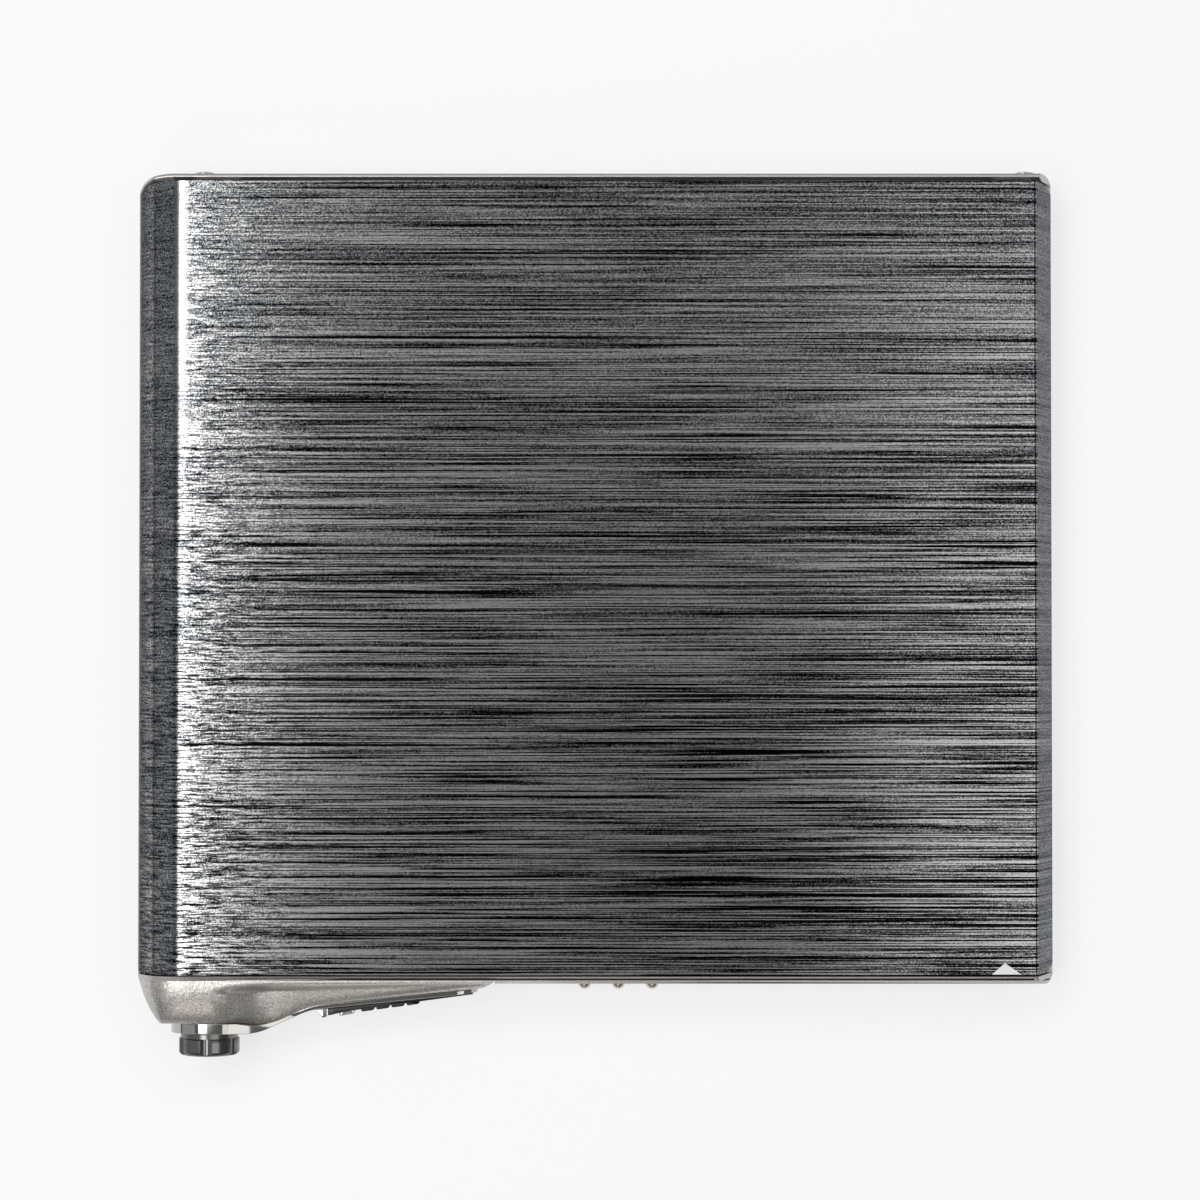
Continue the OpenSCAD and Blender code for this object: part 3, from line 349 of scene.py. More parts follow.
def noiseNode(tree, stretch, scale, detail, rough):
    mapping = tree.nodes.new("ShaderNodeMapping")
    mapping.inputs["Scale"].default_value = stretch
    tree.links.new(tree.nodes.new("ShaderNodeTexCoord").outputs["Object"], mapping.inputs["Vector"])
    noise = tree.nodes.new("ShaderNodeTexNoise")
    noise.inputs["Scale"].default_value = scale
    noise.inputs["Detail"].default_value = detail
    noise.inputs["Roughness"].default_value = rough
    tree.links.new(mapping.outputs["Vector"], noise.inputs["Vector"])
    return noise.outputs["Fac"]


# the place on a piece in metres, as X, Y and Z
def objectPlace(tree):
    parts = tree.nodes.new("ShaderNodeSeparateXYZ")
    tree.links.new(tree.nodes.new("ShaderNodeTexCoord").outputs["Object"], parts.inputs[0])
    return parts.outputs


def bumpNode(tree, shader, height, strength, distance):
    bump = tree.nodes.new("ShaderNodeBump")
    bump.inputs["Strength"].default_value = strength
    bump.inputs["Distance"].default_value = distance
    tree.links.new(height, bump.inputs["Height"])
    tree.links.new(bump.outputs["Normal"], shader.inputs["Normal"])


def newMaterial(name, metallic, roughness):
    material = bpy.data.materials.new(name)
    material.use_nodes = True
    tree = material.node_tree
    shader = tree.nodes["Principled BSDF"]
    shader.inputs["Metallic"].default_value = metallic
    shader.inputs["Roughness"].default_value = roughness
    return material, tree, shader


# a screen colour, each part from 0 to 255, made linear
def fromSrgb(*colour):
    shares = [c / 255 for c in colour]
    return tuple(c / 12.92 if c <= 0.04045 else ((c + 0.055) / 1.055) ** 2.4 for c in shares)


def shade(colour, factor, lift=0.0):
    return tuple(min(1, c * factor + lift) for c in colour)


# straight hairlines along X: fine lines and strokes, slow bands, short nicks and broken dark scratches
def hairlineGroup():
    # each noise's stretch along X, Y and Z, its detail and its roughness
    noises = {"fine": ((18, 8200, 18), 1.0, 0.6), "strokes": ((70, 9200, 70), 1.0, 0.7),
              "short": ((520, 5600, 520), 2.0, 0.7), "bands": ((24, 520, 24), 3.0, 0.65),
              "crossing": ((15, 3600, 15), 0.0, 0.5), "broken": ((60, 4600, 60), 1.0, 0.5)}
    line = {"share": 0.5, "scratchHalf": 0.08, "scratchGaps": (0.42, 0.6)}
    group, given, out = newGroup("hairlines", {"Depth": 1.0}, ("Lines", "Bands", "Short", "Scratch"))
    made = {name: noiseNode(group, stretch, 1.0, *rest) for name, (stretch, *rest) in noises.items()}
    lines = plus(group, *[times(group, made[name], line["share"]) for name in ("fine", "strokes")])
    crossing = mathNode(group, "ABSOLUTE", minus(group, made["crossing"], 0.5))
    dark = times(group, rangeNode(group, crossing, 0.0, line["scratchHalf"], 1.0, 0.0),
                 rangeNode(group, made["broken"], *line["scratchGaps"]))
    putOut(group, out, Lines=contrast(group, lines, given.outputs["Depth"]), Bands=made["bands"],
           Short=made["short"], Scratch=dark)
    return group


# fine blasted speckle, coarser pebbles and slow cloudiness
def satinGroup():
    # each noise's stretch along X, Y and Z, its scale, its detail and its roughness
    noises = {"speckle": ((1, 1, 1), 7000, 1.0, 0.7), "pebble": ((1.25, 0.8, 1), 3000, 2.0, 0.5),
              "cloud": ((1, 1, 1), 220, 3.0, 0.55)}
    group, given, out = newGroup("satinGrain", {"Grain": 1.0}, ("Speckle", "Pebble", "Cloud"))
    made = {name: noiseNode(group, *values) for name, values in noises.items()}
    putOut(group, out, Speckle=contrast(group, made["speckle"], given.outputs["Grain"]),
           Pebble=made["pebble"], Cloud=made["cloud"])
    return group


# rubbed edges: bright where the surface turns sharply outwards, broken up by noise
def edgeWearGroup():
    rub = {"sharp": (0.52, 0.62), "noise": ((1, 1, 1), 900, 4.0, 0.7), "gaps": (0.4, 0.65)}
    group, given, out = newGroup("edgeWear", {"Amount": 0.5}, ("Wear",))
    geometry = group.nodes.new("ShaderNodeNewGeometry")
    edge = rangeNode(group, geometry.outputs["Pointiness"], *rub["sharp"])
    broken = rangeNode(group, noiseNode(group, *rub["noise"]), *rub["gaps"])
    putOut(group, out, Wear=times(group, edge, broken, given.outputs["Amount"]))
    return group


hairlines = hairlineGroup()
satinGrain = satinGroup()
edgeWear = edgeWearGroup()


# the plain triangle at the lid's right front corner, as a mask, in metres
def triangleMask(tree):
    mark = {"left": 0.0349, "right": 0.0376, "foot": -0.0350, "leftLean": 1.15, "rightLean": 1.45,
            "top": 0.0098, "edge": 0.00004}
    place = objectPlace(tree)
    up = minus(tree, place["Y"], mark["foot"])
    inLeft = minus(tree, place["X"], plus(tree, times(tree, up, mark["leftLean"]), mark["left"]))
    inRight = minus(tree, mark["right"], plus(tree, times(tree, up, mark["rightLean"]), place["X"]))
    onTop = minus(tree, place["Z"], mark["top"])
    inside = mathNode(tree, "MINIMUM", inLeft, inRight, up, onTop)
    return rangeNode(tree, inside, 0.0, mark["edge"])


def brushedLidMaterial():
    finish = {"dark": (8, 9, 10), "middle": (109, 111, 114), "light": (194, 194, 192),
              "mark": (238, 238, 236), "sheen": (0.5, 0.51, 0.53, 1), "rough": (0.3, 0.23), "depth": 1.0,
              "level": 0.54, "scratch": -0.75, "paintedHighlightLift": 0.3, "lowTone": (0.08, 0.5),
              "highTone": (0.5, 1.0), "brushed": 0.95, "brushTurn": 0.25, "bump": 0.2, "bumpDepth": 0.00004}
    # the range of each noise, and what it adds to the tone
    added = {"Lines": (0.37, 0.63, -0.5, 0.5), "Short": (0.32, 0.68, -0.5, 0.5),
             "Bands": (0.3, 0.7, -0.1, 0.1), "Speckle": (0.34, 0.66, -0.32, 0.32)}
    # where each change begins and ends, in metres, and its two values: along X, then along Y
    alongX = {"long": (-0.0365, -0.024, 0.0, 1.0), "onTop": (-0.0374, -0.0372, 0.0, 1.0),
              "core": (-0.0366, -0.0358, 1.0, 0.0), "bevel": (0.039, 0.0392, 1.0, 0.2),
              "side": (-0.0386, -0.0406, 0.0, 0.5)}
    alongY = {"core": (0.006, 0.024, 0.12, 0.9), "ahead": (0.03, -0.034, 1.0, 2.3)}
    # how much of an effect is kept outside a zone and inside it
    kept = {"linesOnTop": (0.45, 1.0), "linesOnPaintedHighlight": (1.0, 0.1), "grainOnPaintedHighlight": (1.0, 0.15),
            "nicksOnLong": (0.8, 0.15), "scratchOnLong": (0.4, 1.0)}
    material, tree, shader = newMaterial("brushedLid", 1.0, finish["rough"][0])
    brush = placeGroup(tree, hairlines, Depth=finish["depth"])
    satin = placeGroup(tree, satinGrain, Grain=1.0)
    place = objectPlace(tree)
    inX = {name: rangeNode(tree, place["X"], *ends) for name, ends in alongX.items()}
    inY = {name: rangeNode(tree, place["Y"], *ends) for name, ends in alongY.items()}
    # painted highlight: the tone is lifted towards white where the lamp's highlight falls on the round edge,
    # solid at the rear and faint at the front
    core = times(tree, inX["onTop"], inX["core"], inY["core"])  # the white middle of the highlight
    noise = {name: rangeNode(tree, brush[name], *added[name]) for name in ("Lines", "Short", "Bands")}
    lines = times(tree, noise["Lines"], inX["long"])
    short = times(tree, noise["Short"], fade(tree, inX["long"], *kept["nicksOnLong"]))
    scratch = times(tree, brush["Scratch"], finish["scratch"],
                    fade(tree, inX["long"], *kept["scratchOnLong"]))
    flat = times(tree, fade(tree, inX["onTop"], *kept["linesOnTop"]), fade(tree, core, *kept["linesOnPaintedHighlight"]),
                 inX["bevel"])
    lines = times(tree, plus(tree, lines, short, scratch), flat, inY["ahead"])
    grain = times(tree, rangeNode(tree, satin["Speckle"], *added["Speckle"]),
                  fade(tree, core, *kept["grainOnPaintedHighlight"]))
    # the painted highlight's lift is added to the tone here
    tone = plus(tree, lines, finish["level"], noise["Bands"], grain, times(tree, core, finish["paintedHighlightLift"]))
    dark, middle, light, mark = (fromSrgb(*finish[name]) for name in ("dark", "middle", "light", "mark"))
    low = mixColour(tree, rangeNode(tree, tone, *finish["lowTone"]), dark, middle)
    colour = mixColour(tree, rangeNode(tree, tone, *finish["highTone"]), low, light)
    # painted shade: the round left side is darkened towards black, where it would otherwise reflect the white
    # floor
    colour = mixColour(tree, inX["side"], colour, fromSrgb(0, 0, 0))
    triangle = triangleMask(tree)
    tree.links.new(mixColour(tree, triangle, colour, mark), shader.inputs["Base Color"])
    tree.links.new(fade(tree, triangle, 1.0, 0.0), shader.inputs["Metallic"])
    tree.links.new(fade(tree, tone, *finish["rough"]), shader.inputs["Roughness"])
    shader.inputs["Specular Tint"].default_value = finish["sheen"]
    shader.inputs["Anisotropic"].default_value = finish["brushed"]
    shader.inputs["Anisotropic Rotation"].default_value = finish["brushTurn"]
    along = tree.nodes.new("ShaderNodeTangent")
    along.direction_type = "UV_MAP"
    tree.links.new(along.outputs["Tangent"], shader.inputs["Tangent"])
    bumpNode(tree, shader, brush["Lines"], finish["bump"], finish["bumpDepth"])
    return material


def satinMaterial(name, colour, metallic, rough, grain=0.12, bump=0.12, relief="Speckle"):
    finish = {"wear": 0.12, "worn": 1.25, "speckle": (0.34, 0.66), "cloud": (0.3, 0.7), "roughSway": 0.06,
              "bumpDepth": {"Speckle": 0.00003, "Pebble": 0.0001}}
    material, tree, shader = newMaterial(name, metallic, rough)
    satin = placeGroup(tree, satinGrain, Grain=1.0)
    wear = placeGroup(tree, edgeWear, Amount=finish["wear"])
    base, sway = fromSrgb(*colour), finish["roughSway"]
    speckle = rangeNode(tree, satin["Speckle"], *finish["speckle"])
    speckled = mixColour(tree, speckle, shade(base, 1 - grain), shade(base, 1 + grain))
    worn = mixColour(tree, wear["Wear"], speckled, shade(base, finish["worn"]))
    cloudy = rangeNode(tree, satin["Cloud"], *finish["cloud"], rough - sway, rough + sway)
    tree.links.new(worn, shader.inputs["Base Color"])
    tree.links.new(cloudy, shader.inputs["Roughness"])
    bumpNode(tree, shader, satin[relief], bump, finish["bumpDepth"][relief])
    return material


# polished metal with faint smudges in its gloss
def polishedMaterial(name, colour, rough):
    finish = {"grain": 0.3, "wear": 0.3, "worn": 1.2, "smudge": 0.94, "cloud": (0.35, 0.7)}
    material, tree, shader = newMaterial(name, 1.0, rough[0])
    satin = placeGroup(tree, satinGrain, Grain=finish["grain"])
    wear = placeGroup(tree, edgeWear, Amount=finish["wear"])
    base = fromSrgb(*colour)
    tint = mixColour(tree, satin["Cloud"], shade(base, finish["smudge"]), base)
    worn = mixColour(tree, wear["Wear"], tint, shade(base, finish["worn"]))
    tree.links.new(worn, shader.inputs["Base Color"])
    tree.links.new(rangeNode(tree, satin["Cloud"], *finish["cloud"], *rough), shader.inputs["Roughness"])
    return material


def mouldedMaterial(name, colour, rough, grain=0.25, bump=0.15):
    finish = {"wear": 0.4, "worn": (1.5, 0.02), "cloud": (0.3, 0.7), "roughSway": 0.08, "bumpDepth": 0.00003}
    material, tree, shader = newMaterial(name, 0.0, rough)
    satin = placeGroup(tree, satinGrain, Grain=1.0)
    wear = placeGroup(tree, edgeWear, Amount=finish["wear"])
    base, sway = fromSrgb(*colour), finish["roughSway"]
    speckled = mixColour(tree, satin["Speckle"], shade(base, 1 - grain), shade(base, 1 + grain))
    worn = mixColour(tree, wear["Wear"], speckled, shade(base, *finish["worn"]))
    cloudy = rangeNode(tree, satin["Cloud"], *finish["cloud"], rough - sway, rough + sway)
    tree.links.new(worn, shader.inputs["Base Color"])
    tree.links.new(cloudy, shader.inputs["Roughness"])
    bumpNode(tree, shader, satin["Speckle"], bump, finish["bumpDepth"])
    return material


# green lacquer over rows of conductor tracks
def boardMaterial():
    finish = {"lacquer": (30, 78, 48), "track": (58, 118, 74), "pitch": 1400.0, "trackEdge": (0.16, 0.22),
              "run": (90, 700), "runEdge": (0.5, 0.53), "region": (160, 160, 1), "regionEdge": (0.49, 0.51),
              "cloud": (0.3, 0.7), "rough": (0.28, 0.4), "bump": 0.25, "bumpDepth": 0.00002}
    material, tree, shader = newMaterial("boardGreen", 0.0, 0.34)
    satin = placeGroup(tree, satinGrain, Grain=1.0)
    place = objectPlace(tree)

    def plainNoise(stretch, edge):
        return rangeNode(tree, noiseNode(tree, stretch, 1.0, 0.0, 0.5), *edge)

    # tracks side by side, broken by noise that is stretched along them
    def rows(across, stretch):
        share = mathNode(tree, "FRACT", times(tree, place[across], finish["pitch"]))
        middle = mathNode(tree, "ABSOLUTE", minus(tree, share, 0.5))
        return times(tree, rangeNode(tree, middle, *finish["trackEdge"], 1.0, 0.0),
                     plainNoise(stretch, finish["runEdge"]))

    along, beside = finish["run"]
    region = plainNoise(finish["region"], finish["regionEdge"])
    tracks = plus(tree, times(tree, rows("Y", (along, beside, 1)), region),
                  times(tree, rows("X", (beside, along, 1)), fade(tree, region, 1.0, 0.0)))
    colour = mixColour(tree, tracks, fromSrgb(*finish["lacquer"]), fromSrgb(*finish["track"]))
    cloudy = rangeNode(tree, satin["Cloud"], *finish["cloud"], *finish["rough"])
    tree.links.new(colour, shader.inputs["Base Color"])
    tree.links.new(cloudy, shader.inputs["Roughness"])
    bumpNode(tree, shader, tracks, finish["bump"], finish["bumpDepth"])
    return material


def glassMaterial():
    finish = {"rough": 0.02, "ior": 1.58, "grain": 0.2, "tints": ((0.72, 0.82, 0.95), (0.85, 0.86, 0.98))}
    material, tree, shader = newMaterial("lensGlass", 0.0, finish["rough"])
    shader.inputs["Transmission Weight"].default_value = 1.0
    shader.inputs["IOR"].default_value = finish["ior"]
    satin = placeGroup(tree, satinGrain, Grain=finish["grain"])
    tree.links.new(mixColour(tree, satin["Cloud"], *finish["tints"]), shader.inputs["Base Color"])
    return material


brushedLid = brushedLidMaterial()
satinCase = satinMaterial("satinCase", (192, 189, 186), 0.85, 0.4)
satinPod = satinMaterial("satinPod", (193, 190, 185), 0.85, 0.37, 0.3, 0.26, "Pebble")
plateChrome = polishedMaterial("plateChrome", (184, 181, 176), (0.04, 0.09))
gunmetal = polishedMaterial("gunmetal", (118, 116, 114), (0.22, 0.32))
brightSteel = polishedMaterial("brightSteel", (205, 204, 202), (0.1, 0.22))
screwSteel = polishedMaterial("screwSteel", (150, 149, 147), (0.16, 0.28))
goldContact = polishedMaterial("goldContact", (214, 205, 190), (0.12, 0.25))
slideDark = mouldedMaterial("slideDark", (15, 15, 16), 0.36, 0.2, 0.08)
blackPlastic = mouldedMaterial("blackPlastic", (34, 34, 36), 0.5)
palePlastic = mouldedMaterial("palePlastic", (214, 208, 194), 0.48, 0.06)
damperRubber = mouldedMaterial("damperRubber", (26, 26, 27), 0.75)
motorBase = mouldedMaterial("motorBase", (150, 116, 70), 0.45)
magnetDark = satinMaterial("magnetDark", (92, 92, 96), 0.8, 0.5)
sheetSteel = satinMaterial("sheetSteel", (188, 189, 191), 0.95, 0.33, 0.08, 0.06)
darkSteel = satinMaterial("darkSteel", (84, 84, 87), 0.95, 0.38, 0.1, 0.08)
sledMetal = satinMaterial("sledMetal", (112, 112, 117), 0.85, 0.48)
boardGreen = boardMaterial()
cellFoil = satinMaterial("cellFoil", (156, 158, 162), 0.8, 0.4)
lensGlass = glassMaterial()
print("materials made")

# sizes are in mm from here on, but for the floor and the lights
body = {"left": -40.95, "right": 40.95, "noseX": -36.0, "noseR": 4.95, "top": 9.9, "seam": 5.2,
        "bevelIn": 1.98, "rimFront": -35.6, "rimTop": 9.6, "lipTop": 7.0, "rear": 36.05, "front": -36.05}


# the lid: one bent skin from the round left side over the top to the bevelled right side
def makeLid():
    size = {"front": -35.05, "rear": 35.2, "foot": 5.3, "thick": 0.5, "bend": 0.4, "noseDeg": 176,
            "bevelDeg": 22.8, "cornerX": 3.4, "cornerY": 1.0, "rightR": 1.0,
            "brushScale": 10, "overBend": 0.15, "overEdge": 0.05}
    front, rear, rightR, bend = size["front"], size["rear"], size["rightR"], size["bend"]
    edgeX = body["right"] - body["bevelIn"]
    bendX = edgeX - bend * tan(radians((90 - size["bevelDeg"]) / 2))
    footX = body["right"] - body["bevelIn"] * (size["foot"] - body["seam"]) / (body["top"] - body["seam"])
    profile = arc(body["noseX"], body["noseR"], body["noseR"], size["noseDeg"], 90, 40)
    profile += [(x, body["top"]) for x in spread(body["noseX"], bendX, 40)[1:-1]]
    profile += arc(bendX, body["top"] - bend, bend, 90, size["bevelDeg"], 9)
    lastX, lastZ = profile[-1]
    profile += [(mix(lastX, footX, f), mix(lastZ, size["foot"], f)) for f in spread(0, 1, 5)[1:]]

    def cornerIn(y, end, rx, ry):
        return rx * (1 - sqrt(max(0, 1 - clamp(1 - abs(end - y) / ry) ** 2)))

    stations = spread(front, front + rightR, 9)
    stations += spread(front + rightR, rear - rightR, 30)[1:-1]
    stations += [rear - rightR * (1 - sin(radians(a))) for a in spread(0, 90, 22)]
    rings = []
    for y in stations:
        lowX = body["left"] + cornerIn(y, rear, size["cornerX"], size["cornerY"])
        highX = body["right"] - max(cornerIn(y, end, rightR, rightR) for end in (front, rear))
        rings.append([(min(max(x, lowX), highX), y, z) for x, z in profile])
    lid = ringForm("lid", rings, closeRing=False, capEnds=False)
    if lid.data.polygons[len(lid.data.polygons) // 2].normal.z < 0:
        editAll(lid)
        bpy.ops.mesh.flip_normals()
        bpy.ops.object.mode_set(mode="OBJECT")
    shell = lid.modifiers.new("thickness", "SOLIDIFY")
    shell.thickness = size["thick"] * mm
    shell.offset = -1
    shell.use_even_offset = True
    bpy.ops.object.modifier_apply(modifier=shell.name)
    # this map gives the brush its direction, and leans with height so that upright faces have a width in it
    brush = lid.data.uv_layers.active.data
    for loop in lid.data.loops:
        x, y, z = lid.data.vertices[loop.vertex_index].co
        u, v = x + size["overBend"] * z, y + size["overEdge"] * z
        brush[loop.index].uv = (u * size["brushScale"], v * size["brushScale"])
    finishPiece(lid, "lid", brushedLid, ["lid_panel"], 30)


makeLid()
print("lid made")

# the lower case has a long round corner at the rear left, part of an ellipse in plan
corner = {"wide": 3.4, "deep": 1.9, "endDeg": 86, "steps": 40}
corner["x"] = body["left"] + corner["wide"]
corner["y"] = body["rear"] - corner["deep"]
caseSize = {"rightR": 1.0, "wallTop": 8.6, "bandFoot": 5.75, "endFoot": 5.11, "endX": -39.2, "past": 1}


def cornerPoint(deg):
    return corner["x"] - corner["wide"] * sin(radians(deg)), corner["y"] + corner["deep"] * cos(radians(deg))


# the plan keeps the case inside its round corners, and two steps make room for the corner's band
def trimCase(case):
    size = {"under": -1, "tall": 12, "bandDeep": 0.9, "endOver": 0.1}
    left, right, front, rear = body["left"], body["right"], body["front"], body["rear"]
    past, rightR = caseSize["past"], caseSize["rightR"]
    plan = [(left, front), (right - rightR, front)]
    plan += arc(right - rightR, front + rightR, rightR, -90, 0, 16)[1:]
    plan += arc(right - rightR, rear - rightR, rightR, 0, 90, 16)
    plan += [cornerPoint(a) for a in spread(0, corner["endDeg"], corner["steps"])] + [(left, corner["y"])]
    shape = outlineForm("plan", [(x, y, size["under"]) for x, y in plan], (0, 0, size["tall"]))
    cutAway(case, shape, "INTERSECT")
    cutBox(case, (left - past, rear - size["bandDeep"], caseSize["bandFoot"]),
           (corner["x"], rear + past, body["top"]))
    cutBox(case, (left - past, rear - corner["deep"] - size["endOver"], caseSize["endFoot"]),
           (caseSize["endX"], rear + past, body["top"]))


# the front rim falls to the front, and a fine groove runs along it
def cutFrontRim(case):
    slope = {"rear": -35.05, "rearZ": 9.62, "front": -36.2, "frontZ": 9.06, "over": 9.75}
    groove = {"y": -35.53, "wide": 0.16, "foot": 7.8, "fromX": -27, "footX": -20, "endIn": 2.2}
    fall = [(slope["rear"], slope["rearZ"]), (slope["rear"], slope["over"]),
            (slope["front"], slope["over"]), (slope["front"], slope["frontZ"])]
    across = body["right"] - body["left"]
    cutAway(case, outlineForm("rimSlope", [(body["left"], y, z) for y, z in fall], (across, 0, 0)))
    endX = body["right"] - groove["endIn"]
    line = [(groove["fromX"], body["top"]), (groove["footX"], groove["foot"]), (endX, groove["foot"]),
            (endX, body["top"])]
    cutAway(case, outlineForm("frontGroove", [(x, groove["y"], z) for x, z in line], (0, groove["wide"], 0)))


# the wall's top band round the long corner, lower where the lid's round side comes down
def makeCornerBand():
    size = {"inner": 1.15, "innerOff": 0.05, "least": 0.02, "blend": 0.3, "blendRun": 1.2,
            "blendLeast": 0.001, "edgeShare": 0.43, "slopeShare": 0.47, "dropShare": 0.85}
    rings = []
    for a in spread(0, corner["endDeg"], corner["steps"]):
        x, outer = cornerPoint(a)
        inner = corner["y"] + size["innerOff"] + size["inner"] * cos(radians(a))
        outer = max(outer, inner + size["least"])
        low = caseSize["bandFoot"] if x > caseSize["endX"] else caseSize["endFoot"]
        rise = sqrt(max(0, body["noseR"] ** 2 - max(0, body["noseX"] - x) ** 2))
        blend = size["blend"] * smooth((corner["x"] - x) / size["blendRun"]) + size["blendLeast"]
        high = softMin(caseSize["wallTop"], body["noseR"] + rise - size["least"], blend)
        wide = outer - inner
        edge = wide * size["edgeShare"]
        section = [(inner, low), (outer, low)] + arc(outer - edge, high - edge, edge, 0, 90, 7)
        section += [(inner + wide * size["slopeShare"], high), (inner, high - wide * size["dropShare"])]
        rings.append([(x, y, z) for y, z in section])
    return ringForm("cornerBand", rings)


# closes the wall where the long corner cuts through to the inside
def makeCornerFill():
    size = {"foot": 3.6, "thick": 0.45, "in": 0.01, "fromDeg": 46, "toDeg": 62}
    points = [cornerPoint(a) for a in spread(size["fromDeg"], size["toDeg"], 12)]
    bend = [(x, y - size["in"]) for x, y in points]
    inside = [(x, y - size["thick"]) for x, y in reversed(bend)]
    foot = [(x, y, size["foot"]) for x, y in bend + inside]
    return outlineForm("cornerFill", foot, (0, 0, caseSize["endFoot"] - size["foot"]))


# the long corner is cut into many strips, so its normals are set from the ellipse itself
def setCornerNormals(case):
    sameWay = 0.96
    normals = [loop.vector.copy() for loop in case.data.corner_normals]
    for face in case.data.polygons:
        if face.center.x > corner["x"] * mm or face.center.y < corner["y"] * mm:
            continue
        for i in face.loop_indices:
            spot = case.data.vertices[case.data.loops[i].vertex_index].co / mm
            out = Vector(((spot.x - corner["x"]) / corner["wide"] ** 2,
                          (spot.y - corner["y"]) / corner["deep"] ** 2, 0)).normalized()
            if out.dot(face.normal) > sameWay:
                normals[i] = out
    case.data.normals_split_custom_set(normals)


def makeCase():
    case = nodeCopy("lower_case", "lowerCase")
    trimCase(case)
    cutFrontRim(case)
    joinPieces([case, makeCornerBand(), makeCornerFill()])
    finishPiece(case, "base", satinCase, ["lower_case"], 40, True)
    setCornerNormals(case)


makeCase()
print("case made")

# the pod, its face plate and the slide follow one S-shaped line seen from above
plate = {"y0": -40.45, "crownX": -34.58, "crownZ": 4.95, "x1": -30.98, "r1": 4.6, "steep": radians(23.4),
         "run": 2.78, "r2": 6.75, "slope": radians(5.7), "thick": 0.93, "thin": 0.35, "thinFrom": 2.7,
         "thinRun": 3.6, "half": 1.9, "wingZ": 4.3, "round": 3.4, "slideLength": 13.4, "tipOver": 0.4,
         "collarR": 3.1, "collarSeat": 0.32}
plate["x2"] = plate["x1"] + plate["r1"] * sin(plate["steep"])
plate["x3"] = plate["x2"] + plate["run"]
plate["x4"] = plate["x3"] + plate["r2"] * (sin(plate["steep"]) - sin(plate["slope"]))
plate["y2"] = plate["y0"] + plate["r1"] * (1 - cos(plate["steep"]))
plate["y3"] = plate["y2"] + plate["run"] * tan(plate["steep"])
plate["y4"] = plate["y3"] + plate["r2"] * (cos(plate["slope"]) - cos(plate["steep"]))
plate["tip"] = plate["x4"] + plate["slideLength"] + plate["tipOver"]

# the slot that the slide's stem runs in, and the latch bar's room behind the pod
stemSlot = ((plate["x4"] + 5.4, -41, 3.8), (-14.06, -34, 4.8))
latchRoom = ((plate["x4"] + 4.3, -36.5, 3.7), (-11.56, -34, 5.9))


def plateY(x):
    if x < plate["x1"]:
        return plate["y0"]
    if x < plate["x2"]:
        return plate["y0"] + plate["r1"] - sqrt(plate["r1"] ** 2 - (x - plate["x1"]) ** 2)
    if x < plate["x3"]:
        return plate["y2"] + (x - plate["x2"]) * tan(plate["steep"])
    if x < plate["x4"]:
        centre = plate["x3"] + plate["r2"] * sin(plate["steep"])
        return plate["y3"] - plate["r2"] * cos(plate["steep"]) + sqrt(plate["r2"] ** 2 - (centre - x) ** 2)
    return plate["y4"] + (x - plate["x4"]) * tan(plate["slope"])


def plateBack(x):
    thinned = clamp((x - plate["crownX"] - plate["thinFrom"]) / plate["thinRun"])
    return plateY(x) + mix(plate["thick"], plate["thin"], thinned)


# a hole or recess about the crown's axis
def cutCrownBar(piece, y, radius, length):
    cutBar(piece, (plate["crownX"], y, plate["crownZ"]), radius, length)


